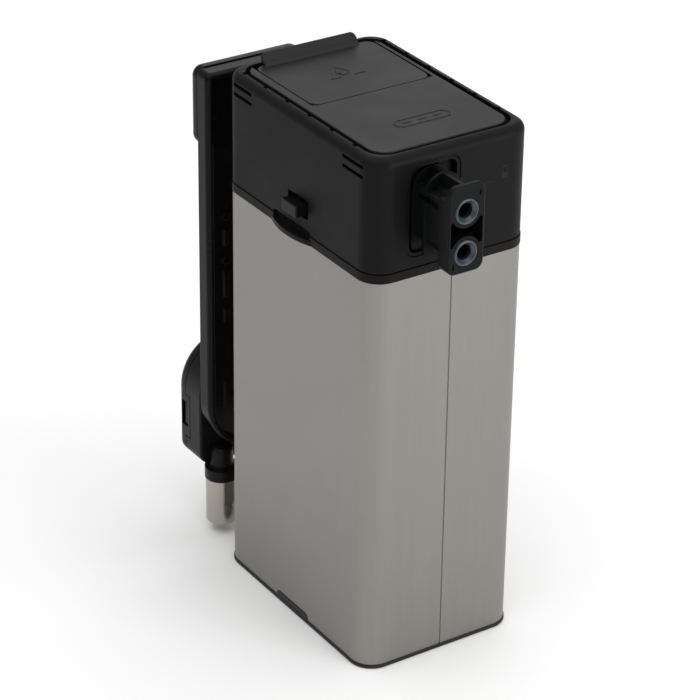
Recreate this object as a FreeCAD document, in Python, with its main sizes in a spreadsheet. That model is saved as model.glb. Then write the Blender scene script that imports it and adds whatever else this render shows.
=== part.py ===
import FreeCAD, Part
import math
import os

import Sketcher
from FreeCAD import Placement, Rotation, Vector

# Insulated milk carafe for a bean-to-cup coffee machine: a steel jug with a
# plug-in frothing lid and a milk spout on a strap at its front.
# +Z is up, the origin is the middle of the jug's foot, +Y is the side that
# plugs into the machine and -Y is the spout side.  Millimetres.

SIZES = {
    # steel jug
    "body_width": 80,
    "body_depth": 117.2,
    "corner_radius": 10.6,
    "joint_height": 190,
    "sleeve_wall": 0.8,
    "fit_gap": 0.1,
    "seam_width": 0.7,
    "seam_depth": 0.4,
    "rim_proud": 0.4,
    "rim_low": 0.4,
    "rim_high": 1.8,
    "notch_width": 26,
    "notch_top": 5,
    "notch_middle": -0.8,
    "notch_round": 2.5,
    "liner_gap": 5.7,
    "liner_wall": 0.8,
    "liner_floor": 1.2,
    "liner_low": 8,
    "liner_high": 186,
    "liner_radius": 8,
    "collar_low": 180,
    "latch_slot_low": 182,
    "latch_slot_width": 5.2,
    "latch_slot_length": 9.2,
    "latch_slot_across": 36.3,
    "pan_floor": 3,
    "pan_top": 6,
    "clip_round": 2,
    "clip_proud": 0.2,
    "pan_inner_width": 73.8,
    "pan_inner_depth": 111,
    "pan_inner_radius": 8,
    "foot_width": 60,
    "foot_depth": 96,
    "foot_thick": 1.4,
    "foot_radius": 9,
    "groove_length": 44,
    "groove_width": 1.6,
    "groove_round": 0.7,
    "groove_deep": 0.4,
    "groove_pitch": 11,
    "base_screw_across": 27,
    "base_screw_along": 30,
    "base_head_radius": 3,
    "base_head_low": 1.45,
    "base_head_high": 2.3,
    "base_shank_radius": 1.5,
    "base_shank_top": 7.5,
    "cradle_gap": 0.2,
    "cradle_window_width": 42,
    "cradle_window_depth": 84,
    "cradle_window_radius": 6,
    # lid case
    "lid_rest": 0.15,
    "band_proud": 0.3,
    "band_wall": 2.6,
    "band_top": 194.1,
    "shell_low": 194.5,
    "lid_top": 245.75,
    "lid_round": 4,
    "lid_wall": 2.4,
    "deck_low": 240.8,
    "deck_top": 242.7,
    "lid_screw_across": 30,
    "lid_screw_along": 52.9,
    "lid_boss_radius": 3,
    "lid_shank_radius": 1.1,
    "lid_boss_hole": 14,
    "under_low": 184,
    "under_seal_low": 186.3,
    "under_seal_high": 188.7,
    "under_radius": 6.7,
    "under_gap": 0.3,
    "under_hollow": 191.3,
    "under_top": 193.5,
    "under_width": 74.6,
    "under_depth": 111.8,
    "under_wall": 2.8,
    "plug_play": 0.5,
    "seal_seat": 1.2,
    "seal_proud": 0.4,
    "lid_head_radius": 2.1,
    "lid_head_low": 190.5,
    "lid_head_high": 192,
    "lid_shank_top": 206,
    "latch_hole_width": 5,
    "latch_hole_across": 36,
    "post_low": 193.3,
    "post_high": 209,
    "post_width": 2.5,
    "post_length": 8,
    "post_across": 24.75,
    "tab_disc": 43.3,
    "tab_top": 192.4,
    "tab_middle": -2.6,
    "scoop_inner": 38.8,
    "scoop_length": 29,
    "scoop_height": 3.6,
    "scoop_round": 1.7,
    "slit_length": 15,
    "slit_height": 1.7,
    "slit_depth": 2.1,
    "slit_rear": 43,
    "slit_front": -42.5,
    "slit_high": 241.2,
    "slit_low": 236.9,
    "comb_pitch": 17.2,
    "comb_across": 35.4,
    "comb_first": -47.6,
    "comb_width": 2.4,
    "comb_length": 2.6,
    "cover_width": 67,
    "cover_radius": 8,
    "cover_front": -52.8,
    "cover_rear": 52,
    "cover_low": 243,
    "cover_gap": 2.1,
    "cover_round": 0.5,
    "tray_gap": 1.4,
    "tray_radius": 9.6,
    # filling flap
    "flap_width": 60,
    "flap_middle": -1,
    "flap_front": -51.5,
    "flap_rear": -3.5,
    "flap_low": 243.4,
    "flap_gap": 0.6,
    "flap_sunk": 0.05,
    "flap_radius": 5,
    "flap_round": 0.4,
    "flap_bay_length": 70,
    "flap_bay_radius": 2.6,
    "hinge_along": -4.7,
    "hinge_up": 244.55,
    "hinge_pin": 0.7,
    "pin_reach": 32.6,
    "pin_wall": 0.6,
    "lip_width": 48,
    "lip_tall": 7.2,
    "fill_side": 32,
    "fill_radius": 6,
    "fill_across": -8,
    "fill_along": -30,
    "fill_wall": 2,
    "flap_seal_reach": 0.4,
    "flap_seal_gap": 0.8,
    # plug for the machine
    "plug_middle": 10,
    "port_upper": 227.1,
    "port_lower": 208.4,
    "port_bore": 3.35,
    "tube_radius": 2.6,
    "tube_bore": 1.8,
    "tube_end": 70,
    "port_seal": 5.9,
    "port_lead_in": 1.5,
    "port_seal_deep": 3,
    "port_seal_proud": 0.3,
    "port_seal_round": 0.8,
    "port_boss_radius": 7.4,
    "port_boss_sunk": 0.3,
    "plug_face": 82,
    "plug_plate": 7,
    "plate_width": 17.8,
    "plate_low": 199.5,
    "plate_high": 239,
    "plate_radius": 4,
    "plate_round": 0.7,
    "bay_width": 26.5,
    "bay_low": 199,
    "bay_high": 241,
    "bay_middle": 10.25,
    "bay_radius": 5,
    "frame_rear": 53.4,
    "frame_floor": 54.8,
    "frame_step": 56.1,
    "frame_face": 58.3,
    "frame_lip": 2,
    "frame_trim": 0.6,
    "frame_play": 0.25,
    "frame_wall": 1.8,
    "frame_radius": 6,
    "frame_ring_radius": 4.8,
    "frame_tray_radius": 3.4,
    "frame_hole_width": 17.6,
    "frame_hole_tall": 35,
    "frame_hole_radius": 4,
    "frame_hole_up": 218,
    "flange_rear": 54.9,
    "flange_front": 57,
    "flange_radius": 9.6,
    "flange_reach": 27.2,
    "flange_corner": 2,
    "flange_up": 228.4,
    "plug_rib_rear": 63.8,
    "plug_rib_front": 65.4,
    "plug_rib_radius": 9.2,
    "plug_rib_up": 228.8,
    "plug_root": 50.5,
    "plug_neck": 76,
    "plug_tube_radius": 5.4,
    "plug_body_width": 17.2,
    "plug_body_tall": 21,
    "plug_body_radius": 1.5,
    "plug_body_up": 220.5,
    "plug_slot": 3,
    "plug_slot_rear": 58.6,
    "plug_slot_front": 73.5,
    "plug_slot_up": 228,
    "plug_window_floor": 77,
    "plug_window_width": 15.6,
    "plug_window_tall": 11.7,
    "plug_window_radius": 0.8,
    "plug_window_up": 217.8,
    "plug_well_floor": 66,
    "plug_well_tall": 7,
    "plug_well_radius": 0.6,
    "plug_well_up": 217.75,
    "relief_wall": 2.2,
    "relief_width": 20,
    "relief_tall": 8,
    "relief_up": 236.6,
    "web_start": 55,
    "web_step": 3.1,
    "web_stop": 2,
    "web_width": 1.8,
    "web_tall": 6.6,
    "web_up": 234.7,
    "web_tip_tall": 4.8,
    "web_tip_up": 235.6,
    "dent_deep": 0.6,
    "dent_width": 1.1,
    "dent_tall": 2.6,
    "dent_radius": 0.5,
    "dent_across": 6.2,
    "dent_upper": 234.4,
    "dent_lower": 203.4,
    "chamber_along": 22,
    "chamber_width": 24,
    "chamber_depth": 32,
    "chamber_radius": 5,
    "chamber_wall": 3,
    "chamber_well_radius": 4,
    "chamber_floor": 199,
    "chamber_top": 230,
    "chamber_cap_top": 233,
    "intake_radius": 3,
    "intake_bore": 2,
    "intake_low": 14,
    "intake_high": 198.5,
    # release buttons
    "button_width": 11.6,
    "button_low": 202,
    "button_high": 207.5,
    "button_face": 44.6,
    "button_middle": 2,
    "window_length": 15.6,
    "window_height": 8.8,
    "window_round": 1,
    "window_middle": 2.2,
    "window_up": 205.2,
    "button_inner": 35.4,
    "button_radius": 0.8,
    "button_round": 0.6,
    "button_plate": 2,
    "button_plate_width": 20,
    "button_plate_tall": 13,
    "button_plate_radius": 1,
    "button_plate_up": 205,
    "arm_inner": 35.9,
    "arm_outer": 37.3,
    "arm_width": 8,
    "arm_tall": 16,
    "arm_up": 193,
    "nose_inner": 37.2,
    "nose_outer": 38.5,
    "nose_tall": 2.4,
    "nose_up": 186.2,
    "spring_radius": 2.3,
    "spring_climb": 0.95,
    "spring_wire": 0.35,
    "spring_across": 26.9,
    "spring_up": 204.5,
    # strap and spout
    "strap_width": 54,
    "strap_middle": 13,
    "strap_end": 70.5,
    "strap_top": 236.5,
    "strap_inner": -72.3,
    "strap_outer": -81,
    "strap_wall": 1.6,
    "strap_side": 3,
    "strap_rim_round": 2.4,
    "strap_edge_round": 0.6,
    "strap_corner": 3,
    "trough_corner": 2,
    "inner_low": -77.8,
    "inner_high": -76.6,
    "rib_low": 82,
    "rib_high": 190,
    "rib_radius": 3.3,
    "rib_proud": 0.3,
    "rib_flat_width": 8,
    "rib_flat_deep": 3,
    "lug_top": -75.4,
    "lug_width": 2.2,
    "catch_top": -75.2,
    "catch_width": 3.4,
    "catch_tall": 1.6,
    "catch_across": 35,
    "catch_low": 207.5,
    "catch_high": 214.5,
    "strap_screw_left": 28.6,
    "strap_screw_right": -2.6,
    "strap_screw_top": 165,
    "strap_screw_middle": 143,
    "strap_screw_low": 90,
    "strap_shank_radius": 1.15,
    "strap_shank_end": -79.4,
    "strap_head_radius": 2.3,
    "strap_head_face": -75.3,
    "fascia_low": 199.6,
    "fascia_high": 237,
    "fascia_face": -87.7,
    "fascia_round": 4.2,
    "fascia_corner": 5,
    "hose_across": 16,
    "hose_along": -77,
    "hose_up": 205,
    "hose_radius": 2.2,
    "hose_bore": 1.4,
    "hose_start": 8.9,
    "hose_bend": 5,
    "hose_notch_width": 4.8,
    "hose_notch_deep": 8,
    "hose_notch_low": 192,
    "hose_notch_high": 200,
    "elbow_radius": 8,
    "elbow_front": -79.35,
    "elbow_rear": -73.6,
    "elbow_bore_end": -75.2,
    "bridge_width": 31.8,
    "bridge_tall": 35.8,
    "bridge_middle": 8,
    "bridge_up": 214,
    "bridge_radius": 3,
    "bridge_wall": 2,
    "bridge_outer": -79.3,
    "bridge_inner": -54.2,
    "bridge_flange": 1.9,
    "bridge_flange_width": 36,
    "bridge_flange_tall": 39,
    "bridge_bore_radius": 2,
    "pivot_radius": 5,
    "pivot_clearance": 0.05,
    "pivot_front": -88,
    "pivot_rear": -76.2,
    "pivot_flange_radius": 7.5,
    "pivot_flange_front": -85.2,
    "pivot_flange_rear": -83.35,
    "pivot_bore": 2.6,
    "pivot_bore_front": -86.5,
    "housing_radius": 24,
    "housing_low": 35.5,
    "housing_rear": -81.3,
    "housing_seam": -94.5,
    "housing_face": -102,
    "housing_wall": 2,
    "housing_gap": 0.5,
    "housing_corner": 6,
    "housing_front_round": 4.5,
    "housing_rear_round": 1.2,
    "snap_inner": 22,
    "snap_outer": 24,
    "snap_bay_inner": 20,
    "snap_bay_outer": 26,
    "snap_width": 7.2,
    "snap_tall": 21.8,
    "snap_play": 0.5,
    "snap_up": 57,
    "snap_window_width": 5.6,
    "snap_window_tall": 13,
    "snap_window_radius": 0.6,
    "snap_window_out": 1,
    "snap_window_up": 57.5,
    "spout_clip_inner": 20.4,
    "spout_clip_outer": 23.4,
    "spout_clip_deep": 3.2,
    "spout_clip_tall": 11,
    "spout_clip_out": 1.4,
    "spout_clip_low": 52,
    "spout_across": 29.5,
    "spout_along": -80,
    "column_radius": 5.6,
    "column_top": 45,
    "column_round": 2.4,
    "column_bore": 2.6,
    "column_bore_top": 42,
    "collar_radius": 8,
    "spout_collar_low": 28.4,
    "spout_collar_high": 34,
    "spigot_low": 21,
    "spigot_radius": 4.9,
    "tip_groove_low": 24,
    "tip_groove_high": 26,
    "tip_groove_radius": 4.2,
    "tip_low": 4.8,
    "tip_radius": 7.6,
    "tip_bore": 5.6,
    "tip_round": 1.2,
    "flute_near": 6.9,
    "flute_far": 9,
    "flute_width": 4.9,
    "flute_tall": 28,
    "flute_radius": 2.4,
    "spout_tube_along": -92,
    "spout_tube_top": 65.5,
    "spout_tube_corner": 52,
    "spout_tube_end_across": 26.5,
    "spout_tube_end_along": -86.8,
    "spout_tube_end_up": 40.5,
    "spout_tube_radius": 2,
    "spout_tube_bore": 1.3,
    "spout_tube_bend": 4,
    # froth dial
    "dial_radius": 13,
    "dial_up": 218.3,
    "dial_shaft": 3,
    "dial_rear": -88,
    "dial_face": -92.4,
    "dial_round": 1,
    "grip_proud": 2.2,
    "grip_width": 4.6,
    "grip_length": 21,
    "grip_radius": 2.2,
    "dial_shaft_end": -77.9,
    "dial_clip_front": -79.2,
    "dial_clip_rear": -78.4,
    "dial_clip_radius": 4.4,
}

doc = FreeCAD.newDocument("MilkCarafe")
sheet = doc.addObject("Spreadsheet::Sheet", "dim")
for row, (alias, size) in enumerate(SIZES.items(), start=1):
    sheet.set(f"A{row}", alias)
    sheet.set(f"B{row}", str(size))
    sheet.setAlias(f"B{row}", alias)
doc.recompute()

pieces = []


def value_of(expression):
    """Number that an expression over the size sheet comes to."""
    result = sheet.evalExpression(str(expression))
    return float(getattr(result, "Value", result))


def new_body(label):
    """Empty PartDesign body for one sub-part."""
    body = doc.addObject("PartDesign::Body", "Body_" + label)
    body.Label = label
    pieces.append(body)
    return body


def sketch_on(body, name, plane, out="0", across="0", up="0"):
    """Sketch on one of the body's own origin planes, moved by three expressions."""
    support = [f for f in body.Origin.OriginFeatures if f.Role == plane + "_Plane"][0]
    sketch = body.newObject("Sketcher::SketchObject", name)
    sketch.AttachmentSupport = [(support, "")]
    sketch.MapMode = "FlatFace"
    for letter, expression in (("x", across), ("y", up), ("z", out)):
        sketch.setExpression("AttachmentOffset.Base." + letter, str(expression))
    return sketch


def hold(sketch, kind, *where_and_value, by=None):
    """Add one constraint, driven by an expression when one is given."""
    index = sketch.addConstraint(Sketcher.Constraint(kind, *where_and_value))
    if by is not None:
        sketch.setExpression(f"Constraints[{index}]", str(by))


def rounded(width, height, radius):
    """Outline: a rectangle about the sketch's origin with four equal round corners."""

    def draw(sketch):
        half_w, half_h, r = value_of(width) / 2, value_of(height) / 2, value_of(radius)
        corners = []
        for turn, (sx, sy) in enumerate(((1, 1), (-1, 1), (-1, -1), (1, -1))):
            centre = Vector(sx * (half_w - r), sy * (half_h - r), 0)
            circle = Part.Circle(centre, Vector(0, 0, 1), r)
            corners.append(Part.ArcOfCircle(circle, turn * math.pi / 2, (turn + 1) * math.pi / 2))
        sides = [Part.LineSegment(corners[i].EndPoint, corners[(i + 1) % 4].StartPoint) for i in range(4)]
        sketch.addGeometry(corners + sides, False)
        for i in range(4):
            hold(sketch, "Tangent", i, 2, 4 + i, 1)
            hold(sketch, "Tangent", 4 + i, 2, (i + 1) % 4, 1)
            hold(sketch, ("Horizontal", "Vertical")[i % 2], 4 + i)
        for i in (1, 2, 3):
            hold(sketch, "Equal", 0, i)
        hold(sketch, "Symmetric", 0, 3, 2, 3, -1, 1)
        hold(sketch, "DistanceX", 5, 1, 7, 1, 2 * half_w, by=width)
        hold(sketch, "DistanceY", 6, 1, 4, 1, 2 * half_h, by=height)
        hold(sketch, "Radius", 0, r, by=radius)

    return draw


def rectangle(width, height):
    """Outline: a plain rectangle about the sketch's origin."""

    def draw(sketch):
        x, y = value_of(width) / 2, value_of(height) / 2
        points = [Vector(-x, -y, 0), Vector(x, -y, 0), Vector(x, y, 0), Vector(-x, y, 0)]
        sketch.addGeometry([Part.LineSegment(points[i], points[(i + 1) % 4]) for i in range(4)], False)
        for i in range(4):
            hold(sketch, "Coincident", i, 2, (i + 1) % 4, 1)
            hold(sketch, ("Horizontal", "Vertical")[i % 2], i)
        hold(sketch, "Symmetric", 0, 1, 2, 1, -1, 1)
        hold(sketch, "DistanceX", 0, 1, 0, 2, 2 * x, by=width)
        hold(sketch, "DistanceY", 1, 1, 1, 2, 2 * y, by=height)

    return draw


def disc(radius):
    """Outline: a circle about the sketch's origin."""

    def draw(sketch):
        sketch.addGeometry(Part.Circle(Vector(0, 0, 0), Vector(0, 0, 1), value_of(radius)), False)
        hold(sketch, "Coincident", 0, 3, -1, 1)
        hold(sketch, "Radius", 0, value_of(radius), by=radius)

    return draw


def tongue(radius, reach, corner, way=1):
    """Outline: a half circle about the origin with straight sides that reach a flat end.

    way is 1 where the flat end is above the half circle and -1 where it is below.
    """

    def draw(sketch):
        r, far, c = value_of(radius), value_of(reach), value_of(corner)
        normal = Vector(0, 0, 1)
        quarter = math.pi / 2
        if way > 0:
            ends = ((math.pi, 2 * math.pi), (0, quarter), (quarter, math.pi))
            signs = (1, -1)
        else:
            ends = ((0, math.pi), (math.pi, 3 * quarter), (3 * quarter, 4 * quarter))
            signs = (-1, 1)
        level = way * (far - c)
        big = Part.ArcOfCircle(Part.Circle(Vector(0, 0, 0), normal, r), *ends[0])
        first = Part.Circle(Vector(signs[0] * (r - c), level, 0), normal, c)
        second = Part.Circle(Vector(signs[1] * (r - c), level, 0), normal, c)
        first = Part.ArcOfCircle(first, *ends[1])
        second = Part.ArcOfCircle(second, *ends[2])
        up_side = Part.LineSegment(Vector(signs[0] * r, 0, 0), Vector(signs[0] * r, level, 0))
        near_end, far_end = (Vector(sign * (r - c), way * far, 0) for sign in signs)
        end = Part.LineSegment(near_end, far_end)
        down_side = Part.LineSegment(Vector(signs[1] * r, level, 0), Vector(signs[1] * r, 0, 0))
        sketch.addGeometry([big, up_side, first, end, second, down_side], False)
        for i in range(6):
            hold(sketch, "Tangent", i, 2, (i + 1) % 6, 1)
        hold(sketch, "Coincident", 0, 3, -1, 1)
        hold(sketch, "Vertical", 1)
        hold(sketch, "Horizontal", 3)
        hold(sketch, "Equal", 2, 4)
        hold(sketch, "Radius", 0, r, by=radius)
        hold(sketch, "Radius", 2, c, by=corner)
        if way > 0:
            hold(sketch, "DistanceY", 0, 3, 3, 1, far, by=reach)
        else:
            hold(sketch, "DistanceY", 3, 1, 0, 3, far, by=reach)

    return draw


def polygon(points):
    """Outline: straight lines through points given as (across, up) pairs."""

    def draw(sketch):
        ends = [Vector(across, up, 0) for across, up in points]
        sketch.addGeometry([Part.LineSegment(a, b) for a, b in zip(ends, ends[1:] + ends[:1])], False)
        for index, (across, up) in enumerate(points):
            hold(sketch, "Coincident", index, 2, (index + 1) % len(points), 1)
            hold(sketch, "DistanceX", -1, 1, index, 1, across)
            hold(sketch, "DistanceY", -1, 1, index, 1, up)

    return draw


def extrude(body, name, plane, low, high, outline, across="0", up="0", cut=False):
    """Pad or pocket an outline from low to high along the axis that the plane faces."""
    out = f"-({high})" if plane == "XZ" else low
    sketch = sketch_on(body, name + "Sketch", plane, out, across, up)
    outline(sketch)
    feature = body.newObject("PartDesign::Pocket" if cut else "PartDesign::Pad", name)
    feature.Profile = sketch
    feature.setExpression("Length", f"({high}) - ({low})")
    feature.Reversed = cut
    return feature


def soften(body, name, size, chosen, flat=False):
    """Round the edges of the body for which chosen(edge) is true, or bevel them where flat."""
    doc.recompute()
    base = body.Tip
    names = [f"Edge{i}" for i, edge in enumerate(base.Shape.Edges, start=1) if chosen(edge)]
    feature = body.newObject("PartDesign::Chamfer" if flat else "PartDesign::Fillet", name)
    feature.Base = (base, names)
    feature.setExpression("Size" if flat else "Radius", str(size))
    return feature


def lies_at(edge, axis, place):
    """True where the whole edge lies at one place along the axis (0, 1 or 2 for X, Y, Z)."""
    box = edge.BoundBox
    low = (box.XMin, box.YMin, box.ZMin)[axis]
    high = (box.XMax, box.YMax, box.ZMax)[axis]
    return abs(low - place) < 1e-3 and abs(high - place) < 1e-3


def span(sign, inner, outer, middle="0"):
    """Low and high X of a stretch between two distances from the middle, on one side."""
    if sign > 0:
        return f"{middle} + ({inner})", f"{middle} + ({outer})"
    return f"{middle} - ({outer})", f"{middle} - ({inner})"


def turned(label, steps, centre, axis):
    """Round piece built of cylinders: (radius, start, end) steps along the axis from centre."""
    bars = []
    for number, (radius, start, end) in enumerate(steps, start=1):
        bar = doc.addObject("Part::Cylinder", f"{label}_step{number}")
        bar.setExpression("Radius", str(radius))
        bar.setExpression("Height", f"({end}) - ({start})")
        bar.Placement = Placement(Vector(0, 0, 0), Rotation(Vector(0, 0, 1), axis))
        for letter, place, share in zip("xyz", centre, axis):
            bar.setExpression("Placement.Base." + letter, f"({place}) + ({share}) * ({start})")
        bars.append(bar)
    if len(bars) == 1:
        return bars[0]
    fused = doc.addObject("Part::MultiFuse", label + "_fused")
    fused.Shapes = bars
    return fused


def group(label, members):
    """One node that holds several identical, separate solids."""
    compound = doc.addObject("Part::Compound", "Group_" + label)
    compound.Links = members
    compound.Label = label
    pieces.append(compound)
    return compound


def hose(label, route, outer, inner, bend):
    """Round tube along straight runs, with a tangent arc at each corner of the route."""
    points = [Vector(*point) for point in route]
    edges = []
    last = points[0]
    for before, corner, after in zip(points, points[1:], points[2:]):
        arrive = (corner - before).normalize()
        leave = (after - corner).normalize()
        half_turn = arrive.getAngle(leave) / 2
        setback = bend * math.tan(half_turn)
        start = corner - arrive * setback
        end = corner + leave * setback
        inward = (leave - arrive).normalize()
        centre = corner + inward * (bend / math.cos(half_turn))
        edges.append(Part.LineSegment(last, start).toShape())
        edges.append(Part.Arc(start, centre - inward * bend, end).toShape())
        last = end
    edges.append(Part.LineSegment(last, points[-1]).toShape())
    path = Part.Wire(edges)
    heading = (points[1] - points[0]).normalize()
    walls = []
    for radius in (outer, inner):
        ring = Part.Wire([Part.Circle(points[0], heading, radius).toShape()])
        walls.append(path.makePipeShell([ring], True, True))
    feature = doc.addObject("Part::Feature", "Tube_" + label)
    feature.Shape = walls[0].cut(walls[1])
    feature.Label = label
    pieces.append(feature)
    return feature


# ---------------------------------------------------------------- steel jug
LINER_WIDTH = "dim.body_width - 2 * (dim.sleeve_wall + dim.liner_gap)"
LINER_DEPTH = "dim.body_depth - 2 * (dim.sleeve_wall + dim.liner_gap)"
INSIDE_WIDTH = "dim.body_width - 2 * (dim.sleeve_wall + dim.fit_gap)"
INSIDE_DEPTH = "dim.body_depth - 2 * (dim.sleeve_wall + dim.fit_gap)"
INSIDE_RADIUS = "dim.corner_radius - dim.sleeve_wall - dim.fit_gap"
SIDES = (("Left", 1), ("Right", -1))
CORNERS = ((1, 1), (-1, 1), (-1, -1), (1, -1))

sleeve = new_body("steel_sleeve")
extrude(sleeve, "SleeveWall", "XY", "dim.rim_high", "dim.joint_height",
        rounded("dim.body_width", "dim.body_depth", "dim.corner_radius"))
extrude(sleeve, "SleeveBore", "XY", "dim.rim_high", "dim.joint_height",
        rounded("dim.body_width - 2 * dim.sleeve_wall", "dim.body_depth - 2 * dim.sleeve_wall",
                "dim.corner_radius - dim.sleeve_wall"), cut=True)
extrude(sleeve, "SleeveSeam", "XY", "dim.rim_high", "dim.joint_height",
        rectangle("dim.seam_width", "2 * dim.seam_depth"), up="dim.body_depth / 2", cut=True)
extrude(sleeve, "SleeveNotch", "YZ", "-dim.body_width", "dim.body_width",
        rounded("dim.notch_width", "2 * dim.notch_top", "dim.notch_round"), across="dim.notch_middle", cut=True)

liner = new_body("inner_liner")
extrude(liner, "LinerWall", "XY", "dim.liner_low", "dim.liner_high",
        rounded(LINER_WIDTH, LINER_DEPTH, "dim.liner_radius"))
extrude(liner, "LinerTank", "XY", "dim.liner_low + dim.liner_floor", "dim.liner_high",
        rounded(LINER_WIDTH + " - 2 * dim.liner_wall", LINER_DEPTH + " - 2 * dim.liner_wall",
                "dim.liner_radius - dim.liner_wall"), cut=True)

collar = new_body("top_collar")
extrude(collar, "CollarRing", "XY", "dim.collar_low", "dim.joint_height",
        rounded(INSIDE_WIDTH, INSIDE_DEPTH, INSIDE_RADIUS))
extrude(collar, "CollarSkirt", "XY", "dim.collar_low", "dim.liner_high",
        rounded(LINER_WIDTH + " + 2 * dim.fit_gap", LINER_DEPTH + " + 2 * dim.fit_gap",
                "dim.liner_radius + dim.fit_gap"), cut=True)
extrude(collar, "CollarMouth", "XY", "dim.liner_high", "dim.joint_height",
        rounded(LINER_WIDTH + " - 2 * dim.liner_wall", LINER_DEPTH + " - 2 * dim.liner_wall",
                "dim.liner_radius - dim.liner_wall"), cut=True)
for side, sign in SIDES:
    extrude(collar, "CollarSlot" + side, "XY", "dim.latch_slot_low", "dim.joint_height",
            rectangle("dim.latch_slot_width", "dim.latch_slot_length"),
            across=f"{sign} * dim.latch_slot_across", up="dim.button_middle", cut=True)

pan = new_body("base_pan")
extrude(pan, "PanRim", "XY", "dim.rim_low", "dim.rim_high",
        rounded("dim.body_width + 2 * dim.rim_proud", "dim.body_depth + 2 * dim.rim_proud",
                "dim.corner_radius + dim.rim_proud"))
extrude(pan, "PanWall", "XY", "dim.rim_high", "dim.pan_top",
        rounded(INSIDE_WIDTH, INSIDE_DEPTH, INSIDE_RADIUS))
extrude(pan, "PanClips", "YZ", "-dim.body_width / 2 - dim.clip_proud", "dim.body_width / 2 + dim.clip_proud",
        rounded("dim.notch_width - 4 * dim.fit_gap", "dim.notch_top - 2 * dim.fit_gap - dim.rim_low",
                "dim.clip_round"),
        across="dim.notch_middle", up="(dim.notch_top - 2 * dim.fit_gap + dim.rim_low) / 2")
extrude(pan, "PanHollow", "XY", "dim.pan_floor", "dim.pan_top + 1",
        rounded("dim.pan_inner_width", "dim.pan_inner_depth", "dim.pan_inner_radius"), cut=True)
extrude(pan, "PanFootSeat", "XY", "dim.rim_low", "dim.foot_thick",
        rounded("dim.foot_width + 2 * dim.fit_gap", "dim.foot_depth + 2 * dim.fit_gap",
                "dim.foot_radius + dim.fit_gap"), cut=True)
for number, (sx, sy) in enumerate(CORNERS, start=1):
    extrude(pan, f"PanScrewHead{number}", "XY", "dim.rim_low", "dim.base_head_high",
            disc("dim.base_head_radius + dim.fit_gap"),
            across=f"{sx} * dim.base_screw_across", up=f"{sy} * dim.base_screw_along", cut=True)
    extrude(pan, f"PanScrewHole{number}", "XY", "dim.rim_low", "dim.pan_floor",
            disc("dim.base_shank_radius + dim.fit_gap"),
            across=f"{sx} * dim.base_screw_across", up=f"{sy} * dim.base_screw_along", cut=True)

cradle = new_body("liner_cradle")
extrude(cradle, "CradlePlate", "XY", "dim.pan_floor", "dim.liner_low",
        rounded("dim.pan_inner_width - 2 * dim.cradle_gap", "dim.pan_inner_depth - 2 * dim.cradle_gap",
                "dim.pan_inner_radius"))
extrude(cradle, "CradleWindow", "XY", "dim.pan_floor", "dim.liner_low",
        rounded("dim.cradle_window_width", "dim.cradle_window_depth", "dim.cradle_window_radius"), cut=True)
for number, (sx, sy) in enumerate(CORNERS, start=1):
    extrude(cradle, f"CradleScrewHole{number}", "XY", "dim.pan_floor", "dim.liner_low",
            disc("dim.base_shank_radius"),
            across=f"{sx} * dim.base_screw_across", up=f"{sy} * dim.base_screw_along", cut=True)

group("base_screws", [
    turned(f"base_screw{number}",
           (("dim.base_head_radius", "dim.base_head_low", "dim.base_head_high"),
            ("dim.base_shank_radius", "dim.base_head_high", "dim.base_shank_top")),
           (f"{sx} * dim.base_screw_across", f"{sy} * dim.base_screw_along", "0"), Vector(0, 0, 1))
    for number, (sx, sy) in enumerate(CORNERS, start=1)])

foot = new_body("base_foot")
extrude(foot, "FootPad", "XY", "0", "dim.foot_thick",
        rounded("dim.foot_width", "dim.foot_depth", "dim.foot_radius"))
GROOVES = 8
for number in range(GROOVES):
    extrude(foot, f"FootGroove{number + 1}", "XY", "0", "dim.groove_deep",
            rounded("dim.groove_length", "dim.groove_width", "dim.groove_round"),
            up=f"{number - (GROOVES - 1) / 2} * dim.groove_pitch", cut=True)

# ---------------------------------------------------------------- lid case
BAND_LOW = "dim.joint_height + dim.lid_rest"

band = new_body("lid_band")
extrude(band, "BandRing", "XY", BAND_LOW, "dim.band_top",
        rounded("dim.body_width + 2 * dim.band_proud", "dim.body_depth + 2 * dim.band_proud",
                "dim.corner_radius + dim.band_proud"))
extrude(band, "BandTabs", "XY", BAND_LOW, "dim.tab_top", disc("dim.tab_disc"), up="dim.tab_middle")
extrude(band, "BandBore", "XY", BAND_LOW, "dim.band_top",
        rounded("dim.body_width + 2 * (dim.band_proud - dim.band_wall)",
                "dim.body_depth + 2 * (dim.band_proud - dim.band_wall)",
                "dim.corner_radius + dim.band_proud - dim.band_wall"), cut=True)
for side, sign in SIDES:
    extrude(band, "BandScoop" + side, "YZ", *span(sign, "dim.scoop_inner", "dim.body_width"),
            rounded("dim.scoop_length", "dim.scoop_height", "dim.scoop_round"),
            across="dim.tab_middle", up="dim.tab_top + dim.scoop_height / 2", cut=True)

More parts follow.
